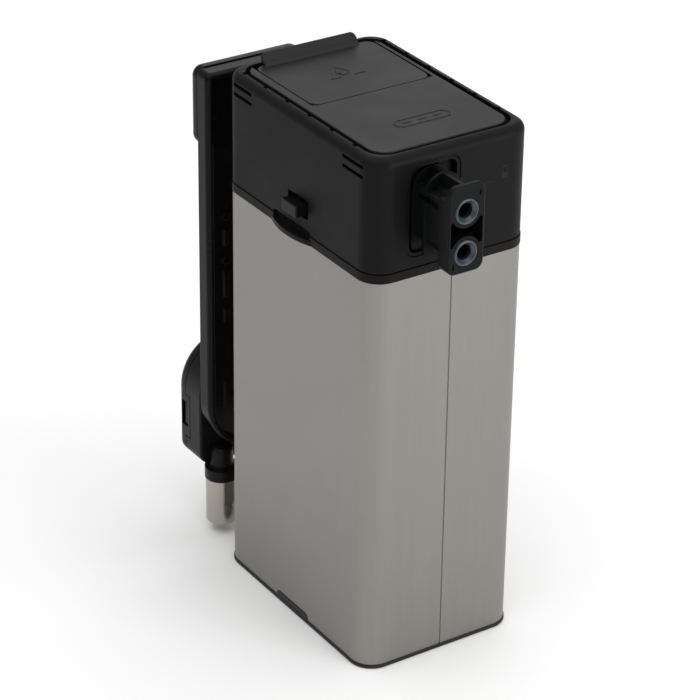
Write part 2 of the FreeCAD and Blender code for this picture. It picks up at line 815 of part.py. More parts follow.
shell = new_body("lid_shell")
extrude(shell, "ShellBlock", "XY", "dim.shell_low", "dim.lid_top",
        rounded("dim.body_width", "dim.body_depth", "dim.corner_radius"))
soften(shell, "ShellRound", "dim.lid_round", lambda edge: lies_at(edge, 2, SIZES["lid_top"]))
extrude(shell, "ShellHollow", "XY", "dim.shell_low", "dim.deck_low",
        rounded("dim.body_width - 2 * dim.lid_wall", "dim.body_depth - 2 * dim.lid_wall",
                "dim.corner_radius - dim.lid_wall"), cut=True)
for number, (sx, sy) in enumerate(CORNERS, start=1):
    extrude(shell, f"ShellBoss{number}", "XY", "dim.shell_low", "(dim.deck_low + dim.deck_top) / 2",
            disc("dim.lid_boss_radius"),
            across=f"{sx} * dim.lid_screw_across", up=f"{sy} * dim.lid_screw_along")
    extrude(shell, f"ShellBossHole{number}", "XY", "dim.shell_low", "dim.shell_low + dim.lid_boss_hole",
            disc("dim.lid_shank_radius"),
            across=f"{sx} * dim.lid_screw_across", up=f"{sy} * dim.lid_screw_along", cut=True)
extrude(shell, "ShellTray", "XY", "dim.deck_top", "dim.lid_top",
        rounded("dim.cover_width + 2 * dim.cover_gap",
                "dim.cover_rear - dim.cover_front + dim.cover_gap + dim.tray_gap", "dim.tray_radius"),
        up="(dim.cover_rear + dim.cover_front + dim.cover_gap - dim.tray_gap) / 2", cut=True)
extrude(shell, "ShellFillHole", "XY", "dim.deck_low", "dim.deck_top",
        rounded("dim.fill_side", "dim.fill_side", "dim.fill_radius"),
        across="dim.fill_across", up="dim.fill_along", cut=True)
for side, sign in SIDES:
    for place, middle in (("Rear", "dim.slit_rear"), ("Front", "dim.slit_front")):
        for level, height in (("High", "dim.slit_high"), ("Low", "dim.slit_low")):
            extrude(shell, f"ShellSlit{side}{place}{level}", "YZ",
                    *span(sign, "dim.body_width / 2 - dim.slit_depth", "dim.body_width"),
                    rounded("dim.slit_length", "dim.slit_height", "0.49 * dim.slit_height"),
                    across=middle, up=height, cut=True)
    extrude(shell, "ShellScoop" + side, "YZ", *span(sign, "dim.scoop_inner", "dim.body_width"),
            rounded("dim.scoop_length", "dim.scoop_height", "dim.scoop_round"),
            across="dim.tab_middle", up="dim.tab_top + dim.scoop_height / 2", cut=True)
    extrude(shell, "ShellButtonWindow" + side, "YZ",
            *span(sign, "dim.body_width / 2 - 2 * dim.lid_wall", "dim.body_width"),
            rounded("dim.window_length", "dim.window_height", "dim.window_round"),
            across="dim.window_middle", up="dim.window_up", cut=True)
    comb = extrude(shell, "ShellComb" + side, "XY", "dim.deck_top", "dim.lid_top",
                   rectangle("dim.comb_width", "dim.comb_length"),
                   across=f"{sign} * dim.comb_across", up="dim.comb_first", cut=True)
    combs = shell.newObject("PartDesign::LinearPattern", "ShellCombs" + side)
    combs.Originals = [comb]
    y_axis = [f for f in shell.Origin.OriginFeatures if f.Role == "Y_Axis"][0]
    combs.Direction = (y_axis, [""])
    combs.setExpression("Length", "5 * dim.comb_pitch")
    combs.Occurrences = 6
    shell.Tip = combs
extrude(shell, "ShellPlugBay", "XZ", "dim.body_depth / 2 - 2 * dim.lid_wall", "dim.body_depth / 2 + 1",
        rounded("dim.bay_width", "dim.bay_high - dim.bay_low", "dim.bay_radius"),
        across="dim.bay_middle", up="(dim.bay_low + dim.bay_high) / 2", cut=True)
extrude(shell, "ShellBridgeHole", "XZ", "-dim.body_depth / 2 - 1", "2 * dim.lid_wall - dim.body_depth / 2",
        rounded("dim.bridge_width + 2 * dim.fit_gap", "dim.bridge_tall + 2 * dim.fit_gap",
                "dim.bridge_radius + dim.fit_gap"),
        across="dim.bridge_middle", up="dim.bridge_up", cut=True)

underplate = new_body("lid_underplate")
PLUG_WIDTH = LINER_WIDTH + " - 2 * dim.liner_wall - 2 * dim.plug_play"
PLUG_DEPTH = LINER_DEPTH + " - 2 * dim.liner_wall - 2 * dim.plug_play"
PLATE_LOW = "dim.joint_height + dim.under_gap"
extrude(underplate, "UnderLowRim", "XY", "dim.under_low", "dim.under_seal_low",
        rounded(PLUG_WIDTH, PLUG_DEPTH, "dim.under_radius"))
extrude(underplate, "UnderSealSeat", "XY", "dim.under_seal_low", "dim.under_seal_high",
        rounded(PLUG_WIDTH + " - 2 * dim.seal_seat", PLUG_DEPTH + " - 2 * dim.seal_seat",
                "dim.under_radius - dim.seal_seat"))
extrude(underplate, "UnderHighRim", "XY", "dim.under_seal_high", PLATE_LOW,
        rounded(PLUG_WIDTH, PLUG_DEPTH, "dim.under_radius"))
extrude(underplate, "UnderPlate", "XY", PLATE_LOW, "dim.under_top",
        rounded("dim.under_width", "dim.under_depth", "dim.liner_radius"))
extrude(underplate, "UnderHollow", "XY", "dim.under_low", "dim.under_hollow",
        rounded(PLUG_WIDTH + " - 2 * dim.under_wall", PLUG_DEPTH + " - 2 * dim.under_wall",
                "dim.under_radius - dim.under_wall + dim.fit_gap"), cut=True)
extrude(underplate, "UnderFillHole", "XY", "dim.under_low", "dim.under_top",
        rounded("dim.fill_side", "dim.fill_side", "dim.fill_radius"),
        across="dim.fill_across", up="dim.fill_along", cut=True)
extrude(underplate, "UnderTubeHole", "XY", "dim.under_low", "dim.under_top",
        disc("dim.intake_radius + dim.pivot_clearance"), across="dim.plug_middle", up="dim.chamber_along", cut=True)
for side, sign in SIDES:
    extrude(underplate, "UnderLatchSlot" + side, "XY", "dim.under_low", "dim.under_top",
            rectangle("dim.latch_hole_width", "dim.latch_slot_length"),
            across=f"{sign} * dim.latch_hole_across", up="dim.button_middle", cut=True)
    extrude(underplate, "UnderSpringPost" + side, "XY", "dim.post_low", "dim.post_high",
            rectangle("dim.post_width", "dim.post_length"),
            across=f"{sign} * dim.post_across", up="dim.button_middle")
for number, (sx, sy) in enumerate(CORNERS, start=1):
    extrude(underplate, f"UnderScrewHead{number}", "XY", PLATE_LOW, "dim.lid_head_high",
            disc("dim.lid_head_radius + dim.fit_gap"),
            across=f"{sx} * dim.lid_screw_across", up=f"{sy} * dim.lid_screw_along", cut=True)
    extrude(underplate, f"UnderScrewHole{number}", "XY", PLATE_LOW, "dim.under_top",
            disc("dim.lid_shank_radius + dim.fit_gap"),
            across=f"{sx} * dim.lid_screw_across", up=f"{sy} * dim.lid_screw_along", cut=True)

group("lid_screws", [
    turned(f"lid_screw{number}",
           (("dim.lid_head_radius", "dim.lid_head_low", "dim.lid_head_high"),
            ("dim.lid_shank_radius", "dim.lid_head_high", "dim.lid_shank_top")),
           (f"{sx} * dim.lid_screw_across", f"{sy} * dim.lid_screw_along", "0"), Vector(0, 0, 1))
    for number, (sx, sy) in enumerate(CORNERS, start=1)])

gasket = new_body("lid_gasket")
GASKET_LOW = "dim.under_seal_low + dim.fit_gap"
GASKET_HIGH = "dim.under_seal_high - dim.fit_gap"
extrude(gasket, "GasketRing", "XY", GASKET_LOW, GASKET_HIGH,
        rounded(PLUG_WIDTH + " + 2 * dim.seal_proud", PLUG_DEPTH + " + 2 * dim.seal_proud",
                "dim.under_radius + dim.seal_proud"))
extrude(gasket, "GasketBore", "XY", GASKET_LOW, GASKET_HIGH,
        rounded(PLUG_WIDTH + " - 2 * (dim.seal_seat - dim.fit_gap)",
                PLUG_DEPTH + " - 2 * (dim.seal_seat - dim.fit_gap)",
                "dim.under_radius - dim.seal_seat + dim.fit_gap"), cut=True)

neck = new_body("fill_neck")
extrude(neck, "NeckWall", "XY", "dim.under_top + dim.fit_gap", "dim.deck_low - dim.fit_gap",
        rounded("dim.fill_side + 2 * dim.fill_wall", "dim.fill_side + 2 * dim.fill_wall",
                "dim.fill_radius + dim.fill_wall"),
        across="dim.fill_across", up="dim.fill_along")
extrude(neck, "NeckBore", "XY", "dim.under_top + dim.fit_gap", "dim.deck_low - dim.fit_gap",
        rounded("dim.fill_side", "dim.fill_side", "dim.fill_radius"),
        across="dim.fill_across", up="dim.fill_along", cut=True)

cover = new_body("top_cover")
extrude(cover, "CoverPlate", "XY", "dim.cover_low", "dim.lid_top",
        rounded("dim.cover_width", "dim.cover_rear - dim.cover_front", "dim.cover_radius"),
        up="(dim.cover_rear + dim.cover_front) / 2")
soften(cover, "CoverSoftEdge", "dim.cover_round", lambda edge: lies_at(edge, 2, SIZES["lid_top"]))
extrude(cover, "CoverFlapBay", "XY", "dim.cover_low", "dim.lid_top",
        rounded("dim.flap_width + 2 * dim.flap_gap", "dim.flap_bay_length", "dim.flap_bay_radius"),
        across="dim.flap_middle", up="dim.flap_rear + dim.flap_gap - dim.flap_bay_length / 2", cut=True)
extrude(cover, "CoverPinHoles", "YZ", "-dim.cover_width / 2 + dim.pin_wall", "dim.cover_width / 2 - dim.pin_wall",
        disc("dim.hinge_pin + dim.pivot_clearance"), across="dim.hinge_along", up="dim.hinge_up", cut=True)

# ---------------------------------------------------------------- filling flap
# side view of the finger lip, from its root on the plate round its tip: (across, up)
LIP = ((0.1, 0.3), (0.1, 1.6), (-1.6, 3.1), (-2.7, 6.6), (-2.0, 7.2),
       (-1.2, 6.9), (0.4, 3.6), (2.6, 2.3), (2.6, 0.3))

# waste at the lip's left upper corner, seen from the front: (across, up)
LIP_CORNER = ((-2.6, 0.3), (-2.6, 0), (-1.6, -0.2), (-0.76, -0.76), (-0.2, -1.6), (0, -2.6),
              (0.3, -2.6), (0.3, 0.3))

flap = new_body("fill_flap")
extrude(flap, "FlapPlate", "XY", "dim.flap_low", "dim.lid_top - dim.flap_sunk",
        rounded("dim.flap_width", "dim.flap_rear - dim.flap_front", "dim.flap_radius"),
        across="dim.flap_middle", up="(dim.flap_rear + dim.flap_front) / 2")
soften(flap, "FlapSoftEdge", "dim.flap_round",
       lambda edge: lies_at(edge, 2, SIZES["lid_top"] - SIZES["flap_sunk"]))
extrude(flap, "FlapLip", "YZ", "-dim.lip_width / 2", "dim.lip_width / 2", polygon(LIP),
        across="dim.flap_front", up="dim.flap_low")
for side, sign in SIDES:
    extrude(flap, "FlapLipCorner" + side, "XZ", "dim.flap_front - 4", "dim.flap_front",
            polygon([(sign * across, up) for across, up in LIP_CORNER]),
            across=f"{sign} * dim.lip_width / 2", up="dim.flap_low + dim.lip_tall", cut=True)
extrude(flap, "FlapPinBore", "YZ", "-dim.flap_width", "dim.flap_width", disc("dim.hinge_pin"),
        across="dim.hinge_along", up="dim.hinge_up", cut=True)

flap_seal = new_body("flap_seal")
extrude(flap_seal, "FlapSealPlug", "XY", "dim.deck_low - dim.flap_seal_reach", "dim.flap_low",
        rounded("dim.fill_side - 2 * dim.flap_seal_gap", "dim.fill_side - 2 * dim.flap_seal_gap",
                "dim.fill_radius - dim.flap_seal_gap"),
        across="dim.fill_across", up="dim.fill_along")

group("flap_hinge_pin", [
    turned("flap_pin", (("dim.hinge_pin", "-dim.pin_reach", "dim.pin_reach"),),
           ("0", "dim.hinge_along", "dim.hinge_up"), Vector(1, 0, 0))])

# ---------------------------------------------------------------- plug for the machine
BAY_UP = "(dim.bay_low + dim.bay_high) / 2"
BAY_TALL = "dim.bay_high - dim.bay_low"
PLATE_UP = "(dim.plate_low + dim.plate_high) / 2"
PLATE_TALL = "dim.plate_high - dim.plate_low"
PORTS = (("Upper", "dim.port_upper"), ("Lower", "dim.port_lower"))

frame = new_body("plug_frame")
extrude(frame, "FrameFlange", "XZ", "dim.frame_rear", "dim.frame_step",
        rounded("dim.bay_width + 2 * dim.frame_lip", BAY_TALL + " - 2 * dim.frame_trim", "dim.frame_radius"),
        across="dim.bay_middle", up=BAY_UP)
extrude(frame, "FrameRing", "XZ", "dim.frame_step", "dim.frame_face",
        rounded("dim.bay_width - 2 * dim.frame_play", BAY_TALL + " - 2 * dim.frame_play", "dim.frame_ring_radius"),
        across="dim.bay_middle", up=BAY_UP)
extrude(frame, "FrameTray", "XZ", "dim.frame_floor", "dim.frame_face",
        rounded("dim.bay_width - 2 * dim.frame_wall", BAY_TALL + " - 2 * dim.frame_wall", "dim.frame_tray_radius"),
        across="dim.bay_middle", up=BAY_UP, cut=True)
extrude(frame, "FrameHole", "XZ", "dim.frame_rear", "dim.frame_floor",
        rounded("dim.frame_hole_width", "dim.frame_hole_tall", "dim.frame_hole_radius"),
        across="dim.plug_middle", up="dim.frame_hole_up", cut=True)

plug = new_body("machine_plug")
extrude(plug, "PlugFlange", "XZ", "dim.flange_rear", "dim.flange_front",
        tongue("dim.flange_radius", "dim.flange_reach", "dim.flange_corner", way=-1),
        across="dim.plug_middle", up="dim.flange_up")
extrude(plug, "PlugRib", "XZ", "dim.plug_rib_rear", "dim.plug_rib_front",
        tongue("dim.plug_rib_radius", "dim.flange_reach", "dim.flange_corner", way=-1),
        across="dim.plug_middle", up="dim.plug_rib_up")
extrude(plug, "PlugBody", "XZ", "dim.plug_root", "dim.plug_neck",
        rounded("dim.plug_body_width", "dim.plug_body_tall", "dim.plug_body_radius"),
        across="dim.plug_middle", up="dim.plug_body_up")
for name, height in PORTS:
    extrude(plug, "PlugTube" + name, "XZ", "dim.plug_root", "dim.plug_neck", disc("dim.plug_tube_radius"),
            across="dim.plug_middle", up=height)
for side, sign in SIDES:
    extrude(plug, "PlugSlot" + side, "XZ", "dim.plug_slot_rear", "dim.plug_slot_front",
            rectangle("dim.plug_slot", "dim.plug_slot"),
            across=f"dim.plug_middle + {sign} * dim.plug_body_width / 2", up="dim.plug_slot_up", cut=True)
extrude(plug, "PlugPlate", "XZ", "dim.plug_face - dim.plug_plate", "dim.plug_face",
        rounded("dim.plate_width", PLATE_TALL, "dim.plate_radius"), across="dim.plug_middle", up=PLATE_UP)
soften(plug, "PlugSoftEdge", "dim.plate_round", lambda edge: lies_at(edge, 1, SIZES["plug_face"]))
extrude(plug, "PlugWindow", "XZ", "dim.plug_window_floor", "dim.plug_face + 1",
        rounded("dim.plug_window_width", "dim.plug_window_tall", "dim.plug_window_radius"),
        across="dim.plug_middle", up="dim.plug_window_up", cut=True)
extrude(plug, "PlugWell", "XZ", "dim.plug_well_floor", "dim.plug_window_floor",
        rounded("dim.plug_window_width", "dim.plug_well_tall", "dim.plug_well_radius"),
        across="dim.plug_middle", up="dim.plug_well_up", cut=True)
for name, height in PORTS:
    extrude(plug, "PlugBoss" + name, "XZ", "dim.plug_neck", "dim.plug_face - dim.port_boss_sunk",
            disc("dim.port_boss_radius"), across="dim.plug_middle", up=height)
    extrude(plug, "PlugBore" + name, "XZ", "dim.tube_end", "dim.plug_face", disc("dim.port_bore"),
            across="dim.plug_middle", up=height, cut=True)
    extrude(plug, "PlugTubeBore" + name, "XZ", "dim.plug_root", "dim.tube_end",
            disc("dim.tube_radius + dim.pivot_clearance"), across="dim.plug_middle", up=height, cut=True)
    extrude(plug, "PlugSealSeat" + name, "XZ", "dim.plug_face - dim.port_seal_deep", "dim.plug_face",
            disc("dim.port_seal"), across="dim.plug_middle", up=height, cut=True)
extrude(plug, "PlugPlateRelief", "XZ", "dim.plug_face - dim.plug_plate - 1", "dim.plug_face - dim.relief_wall",
        rectangle("dim.relief_width", "dim.relief_tall"), across="dim.plug_middle", up="dim.relief_up", cut=True)
extrude(plug, "PlugWeb", "XZ", "dim.web_start", "dim.plug_face - dim.web_step",
        rectangle("dim.web_width", "dim.web_tall"), across="dim.plug_middle", up="dim.web_up")
extrude(plug, "PlugWebTip", "XZ", "dim.plug_face - dim.web_step", "dim.plug_face - dim.web_stop",
        rectangle("dim.web_width", "dim.web_tip_tall"), across="dim.plug_middle", up="dim.web_tip_up")
for name, sign, height in (("Upper", -1, "dim.dent_upper"), ("Lower", 1, "dim.dent_lower")):
    extrude(plug, "PlugDent" + name, "XZ", "dim.plug_face - dim.dent_deep", "dim.plug_face",
            rounded("dim.dent_width", "dim.dent_tall", "dim.dent_radius"),
            across=f"dim.plug_middle + {sign} * dim.dent_across", up=height, cut=True)

for name, height in PORTS:
    seal = new_body("port_seal_" + name.lower())
    title = "Seal" + name
    extrude(seal, title + "Ring", "XZ", "dim.plug_face - dim.port_seal_deep", "dim.plug_face + dim.port_seal_proud",
            disc("dim.port_seal - dim.pivot_clearance"), across="dim.plug_middle", up=height)
    soften(seal, title + "Soft", "dim.port_seal_round",
           lambda edge: lies_at(edge, 1, SIZES["plug_face"] + SIZES["port_seal_proud"]))
    extrude(seal, title + "Bore", "XZ", "dim.plug_face - dim.port_seal_deep", "dim.plug_face + dim.port_seal_proud",
            disc("dim.port_bore"), across="dim.plug_middle", up=height, cut=True)
    soften(seal, title + "LeadIn", "dim.port_lead_in",
           lambda edge: (lies_at(edge, 1, SIZES["plug_face"] + SIZES["port_seal_proud"])
                         and edge.BoundBox.XLength < 2 * SIZES["port_bore"] + 0.1), flat=True)

CHAMBER_REAR = "dim.chamber_along + dim.chamber_depth / 2"
CHAMBER_FRONT = "dim.chamber_along - dim.chamber_depth / 2"
for label, height in (("steam_tube", "dim.port_upper"), ("air_tube", "dim.port_lower")):
    tube = new_body(label)
    for name, radius in (("Wall", "dim.tube_radius"), ("Bore", "dim.tube_bore")):
        extrude(tube, label + name, "XZ", CHAMBER_REAR + " + dim.fit_gap", "dim.tube_end - dim.fit_gap",
                disc(radius), across="dim.plug_middle", up=height, cut=name == "Bore")

chamber = new_body("froth_chamber")
extrude(chamber, "ChamberBlock", "XY", "dim.under_top + dim.fit_gap", "dim.chamber_top",
        rounded("dim.chamber_width", "dim.chamber_depth", "dim.chamber_radius"),
        across="dim.plug_middle", up="dim.chamber_along")
extrude(chamber, "ChamberWell", "XY", "dim.chamber_floor", "dim.chamber_top",
        rounded("dim.chamber_width - 2 * dim.chamber_wall", "dim.chamber_depth - 2 * dim.chamber_wall",
                "dim.chamber_well_radius"),
        across="dim.plug_middle", up="dim.chamber_along", cut=True)
extrude(chamber, "ChamberInlet", "XY", "dim.under_top + dim.fit_gap", "dim.chamber_floor",
        disc("dim.intake_radius + dim.pivot_clearance"), across="dim.plug_middle", up="dim.chamber_along", cut=True)
for name, height in PORTS:
    extrude(chamber, "ChamberPort" + name, "XZ", CHAMBER_REAR + " - dim.chamber_wall", CHAMBER_REAR,
            disc("dim.tube_bore"), across="dim.plug_middle", up=height, cut=True)
extrude(chamber, "ChamberOutlet", "XZ", CHAMBER_FRONT, CHAMBER_FRONT + " + dim.chamber_wall",
        disc("dim.hose_radius + dim.pivot_clearance"), across="dim.hose_across", up="dim.hose_up", cut=True)

chamber_cap = new_body("froth_chamber_cap")
extrude(chamber_cap, "CapPlate", "XY", "dim.chamber_top + dim.fit_gap", "dim.chamber_cap_top",
        rounded("dim.chamber_width", "dim.chamber_depth", "dim.chamber_radius"),
        across="dim.plug_middle", up="dim.chamber_along")

intake = new_body("milk_intake_tube")
extrude(intake, "IntakeWall", "XY", "dim.intake_low", "dim.intake_high", disc("dim.intake_radius"),
        across="dim.plug_middle", up="dim.chamber_along")
extrude(intake, "IntakeBore", "XY", "dim.intake_low", "dim.intake_high", disc("dim.intake_bore"),
        across="dim.plug_middle", up="dim.chamber_along", cut=True)

# ---------------------------------------------------------------- release buttons
HALF_TURNS = 8

for side, sign in SIDES:
    button = new_body("release_button_" + side.lower())
    extrude(button, "Button" + side + "Cap", "YZ", *span(sign, "dim.button_inner", "dim.button_face"),
            rounded("dim.button_width", "dim.button_high - dim.button_low", "dim.button_radius"),
            across="dim.button_middle", up="(dim.button_low + dim.button_high) / 2")
    soften(button, "Button" + side + "Soft", "dim.button_round",
           lambda edge: lies_at(edge, 0, sign * SIZES["button_face"]))
    extrude(button, "Button" + side + "Plate", "YZ",
            *span(sign, "dim.button_inner", "dim.button_inner + dim.button_plate"),
            rounded("dim.button_plate_width", "dim.button_plate_tall", "dim.button_plate_radius"),
            across="dim.button_middle", up="dim.button_plate_up")
    extrude(button, "Button" + side + "Arm", "YZ", *span(sign, "dim.arm_inner", "dim.arm_outer"),
            rectangle("dim.arm_width", "dim.arm_tall"), across="dim.button_middle", up="dim.arm_up")
    extrude(button, "Button" + side + "Nose", "YZ", *span(sign, "dim.nose_inner", "dim.nose_outer"),
            rectangle("dim.arm_width", "dim.nose_tall"), across="dim.button_middle", up="dim.nose_up")

    # each half turn is a half circle whose chord climbs half a pitch along the spring
    half_turns = []
    for turn in range(HALF_TURNS):
        swing = -1 if turn % 2 else 1
        chord = Vector(2 * SIZES["spring_radius"] * swing, 0, SIZES["spring_climb"])
        start = Vector(-SIZES["spring_radius"] * swing, 0, SIZES["spring_climb"] * turn)
        ring = Part.Circle(start, Vector(0, 1, 0), SIZES["spring_wire"]).toShape()
        turn_axis = chord.cross(Vector(0, 1, 0)) * swing
        half_turns.append(Part.Face(Part.Wire(ring)).revolve(start + chord / 2, turn_axis, 180))
    spring = doc.addObject("Part::Feature", "Spring" + side)
    spring.Shape = half_turns[0].multiFuse(half_turns[1:])
    spring.Placement = Placement(
        Vector(sign * SIZES["spring_across"], SIZES["button_middle"], SIZES["spring_up"]),
        Rotation(Vector(0, 0, 1), Vector(sign, 0, 0)))
    spring.Label = "button_spring_" + side.lower()
    pieces.append(spring)

# ---------------------------------------------------------------- strap
STRAP_REACH = "dim.strap_top - dim.strap_end"
INNER_PLATE = ("dim.inner_low", "dim.inner_high")
THROUGH_INNER = ("dim.inner_low - 1", "dim.inner_high + 1")
ON_INNER = "dim.inner_high - dim.fit_gap"

strap = new_body("strap_shell")
extrude(strap, "StrapBlock", "XZ", "dim.strap_outer", "dim.strap_inner",
        tongue("dim.strap_width / 2", STRAP_REACH, "dim.strap_corner"),
        across="dim.strap_middle", up="dim.strap_end")
soften(strap, "StrapOuterEdge", "dim.strap_edge_round", lambda edge: lies_at(edge, 1, SIZES["strap_outer"]))
soften(strap, "StrapRimEdge", "dim.strap_rim_round", lambda edge: lies_at(edge, 1, SIZES["strap_inner"]))
extrude(strap, "StrapTrough", "XZ", "dim.strap_outer + dim.strap_wall", "dim.strap_inner",
        tongue("dim.strap_width / 2 - dim.strap_side", STRAP_REACH + " - dim.strap_side", "dim.trough_corner"),
        across="dim.strap_middle", up="dim.strap_end", cut=True)
extrude(strap, "StrapPivotHole", "XZ", "dim.strap_outer", "dim.strap_outer + dim.strap_wall",
        disc("dim.pivot_radius + dim.pivot_clearance"),
        across="dim.hose_across", up="dim.strap_end", cut=True)
extrude(strap, "StrapDialHole", "XZ", "dim.strap_outer", "dim.strap_outer + dim.strap_wall",
        disc("dim.dial_shaft + dim.pivot_clearance"), across="dim.strap_middle", up="dim.dial_up", cut=True)

inner_cover = new_body("strap_inner_cover")
INNER_GAP = " - dim.strap_side - 2 * dim.fit_gap"
extrude(inner_cover, "InnerPlate", "XZ", *INNER_PLATE,
        tongue("dim.strap_width / 2" + INNER_GAP, STRAP_REACH + INNER_GAP, "dim.trough_corner"),
        across="dim.strap_middle", up="dim.strap_end")
extrude(inner_cover, "InnerRib", "XY", "dim.rib_low", "dim.rib_high", disc("dim.rib_radius"),
        across="dim.hose_across", up="dim.hose_along + dim.rib_proud")
extrude(inner_cover, "InnerRibFlat", "XY", "dim.rib_low - 2", "dim.rib_high + 2",
        rectangle("dim.rib_flat_width", "dim.rib_flat_deep"),
        across="dim.hose_across", up="dim.inner_low - dim.rib_flat_deep / 2", cut=True)
extrude(inner_cover, "InnerHoseWay", "XY", "dim.strap_end", "dim.hose_up - dim.hose_bend",
        disc("dim.hose_radius + dim.fit_gap"), across="dim.hose_across", up="dim.hose_along", cut=True)
extrude(inner_cover, "InnerBridgeHole", "XZ", *THROUGH_INNER,
        rounded("dim.bridge_width + 4 * dim.fit_gap", "dim.bridge_tall + 4 * dim.fit_gap",
                "dim.bridge_radius + 2 * dim.fit_gap"),
        across="dim.bridge_middle", up="dim.bridge_up", cut=True)
extrude(inner_cover, "InnerElbowHole", "XZ", *THROUGH_INNER, disc("dim.elbow_radius + 2 * dim.fit_gap"),
        across="dim.hose_across", up="dim.strap_end", cut=True)

# stiffening lugs along one edge, each from its lower to its upper end
LUGS = ((124, 137), (111, 118), (66, 80), (150, 158))
for number, (low, high) in enumerate(LUGS, start=1):
    extrude(inner_cover, f"InnerLug{number}", "XZ", ON_INNER, "dim.lug_top",
            rectangle("dim.lug_width", high - low), across="dim.strap_screw_left", up=(low + high) / 2)
for name, height in (("Low", "dim.catch_low"), ("High", "dim.catch_high")):
    extrude(inner_cover, "InnerCatch" + name, "XZ", ON_INNER, "dim.catch_top",
            rectangle("dim.catch_width", "dim.catch_tall"), across="dim.catch_across", up=height)

STRAP_SCREWS = (("dim.strap_screw_left", "dim.strap_screw_top"), ("dim.strap_screw_left", "dim.strap_screw_middle"),
                ("dim.strap_screw_right", "dim.strap_screw_top"), ("dim.strap_screw_right", "dim.strap_screw_low"))
for number, (across, up) in enumerate(STRAP_SCREWS, start=1):
    extrude(inner_cover, f"InnerScrewHole{number}", "XZ", *THROUGH_INNER,
            disc("dim.strap_shank_radius + dim.pivot_clearance"), across=across, up=up, cut=True)
group("strap_screws", [
    turned(f"strap_screw{number}",
           (("dim.strap_shank_radius", "dim.strap_shank_end", "dim.inner_high"),
            ("dim.strap_head_radius", "dim.inner_high", "dim.strap_head_face")),
           (across, "0", up), Vector(0, 1, 0))
    for number, (across, up) in enumerate(STRAP_SCREWS, start=1)])

fascia = new_body("strap_fascia")
extrude(fascia, "FasciaBlock", "XZ", "dim.fascia_face", "dim.strap_outer - dim.pivot_clearance",
        rounded("dim.strap_width", "dim.fascia_high - dim.fascia_low", "dim.fascia_corner"),
        across="dim.strap_middle", up="(dim.fascia_low + dim.fascia_high) / 2")
soften(fascia, "FasciaSoftEdge", "dim.fascia_round", lambda edge: lies_at(edge, 1, SIZES["fascia_face"]))
extrude(fascia, "FasciaShaftHole", "XZ", "dim.fascia_face", "dim.strap_outer",
        disc("dim.dial_shaft + dim.pivot_clearance"), across="dim.strap_middle", up="dim.dial_up", cut=True)

bridge = new_body("bridge_duct")
extrude(bridge, "BridgeWall", "XZ", "dim.bridge_outer", "dim.bridge_inner",
        rounded("dim.bridge_width", "dim.bridge_tall", "dim.bridge_radius"),
        across="dim.bridge_middle", up="dim.bridge_up")
extrude(bridge, "BridgeFlange", "XZ", "dim.bridge_inner - dim.bridge_flange", "dim.bridge_inner",
        rounded("dim.bridge_flange_width", "dim.bridge_flange_tall", "dim.bridge_radius"),
        across="dim.bridge_middle", up="dim.bridge_up")
extrude(bridge, "BridgeBore", "XZ", "dim.bridge_outer", "dim.bridge_inner",
        rounded("dim.bridge_width - 2 * dim.bridge_wall", "dim.bridge_tall - 2 * dim.bridge_wall",
                "dim.bridge_bore_radius"),
        across="dim.bridge_middle", up="dim.bridge_up", cut=True)
extrude(bridge, "BridgeHoseNotch", "XY", "dim.hose_notch_low", "dim.hose_notch_high",
        rectangle("dim.hose_notch_width", "dim.hose_notch_deep"),
        across="dim.hose_across", up="dim.hose_along", cut=True)

hose("milk_hose",
     ((SIZES["hose_across"], SIZES["hose_start"], SIZES["hose_up"]),
      (SIZES["hose_across"], SIZES["hose_along"], SIZES["hose_up"]),
      (SIZES["hose_across"], SIZES["hose_along"], SIZES["strap_end"] + SIZES["elbow_radius"])),
     SIZES["hose_radius"], SIZES["hose_bore"], SIZES["hose_bend"])

elbow = new_body("swivel_elbow")
extrude(elbow, "ElbowCup", "XZ", "dim.elbow_front", "dim.elbow_rear", disc("dim.elbow_radius"),
        across="dim.hose_across", up="dim.strap_end")
extrude(elbow, "ElbowBore", "XZ", "dim.elbow_front", "dim.elbow_bore_end",
        disc("dim.pivot_radius + dim.pivot_clearance"), across="dim.hose_across", up="dim.strap_end", cut=True)
extrude(elbow, "ElbowHoseHole", "XY", "dim.strap_end + dim.elbow_radius / 2",
        "dim.strap_end + dim.elbow_radius + 1", disc("dim.hose_bore"),
        across="dim.hose_across", up="dim.hose_along", cut=True)

# ---------------------------------------------------------------- froth dial
dial = new_body("froth_dial")
extrude(dial, "DialDisc", "XZ", "dim.dial_face", "dim.dial_rear", disc("dim.dial_radius"),
        across="dim.strap_middle", up="dim.dial_up")
soften(dial, "DialSoftEdge", "dim.dial_round", lambda edge: lies_at(edge, 1, SIZES["dial_face"]))
extrude(dial, "DialGrip", "XZ", "dim.dial_face - dim.grip_proud", "dim.dial_face + dim.fit_gap",
        rounded("dim.grip_width", "dim.grip_length", "dim.grip_radius"),
        across="dim.strap_middle", up="dim.dial_up")
extrude(dial, "DialShaft", "XZ", "dim.dial_rear", "dim.dial_shaft_end", disc("dim.dial_shaft"),
        across="dim.strap_middle", up="dim.dial_up")

clip = new_body("dial_clip")
for name, radius in (("Ring", "dim.dial_clip_radius"), ("Bore", "dim.dial_shaft")):
    extrude(clip, "DialClip" + name, "XZ", "dim.dial_clip_front", "dim.dial_clip_rear", disc(radius),
            across="dim.strap_middle", up="dim.dial_up", cut=name == "Bore")

# ---------------------------------------------------------------- swivelling spout
HOUSING_REACH = "dim.strap_end - dim.housing_low"
SEAM = "dim.housing_seam - dim.fit_gap"

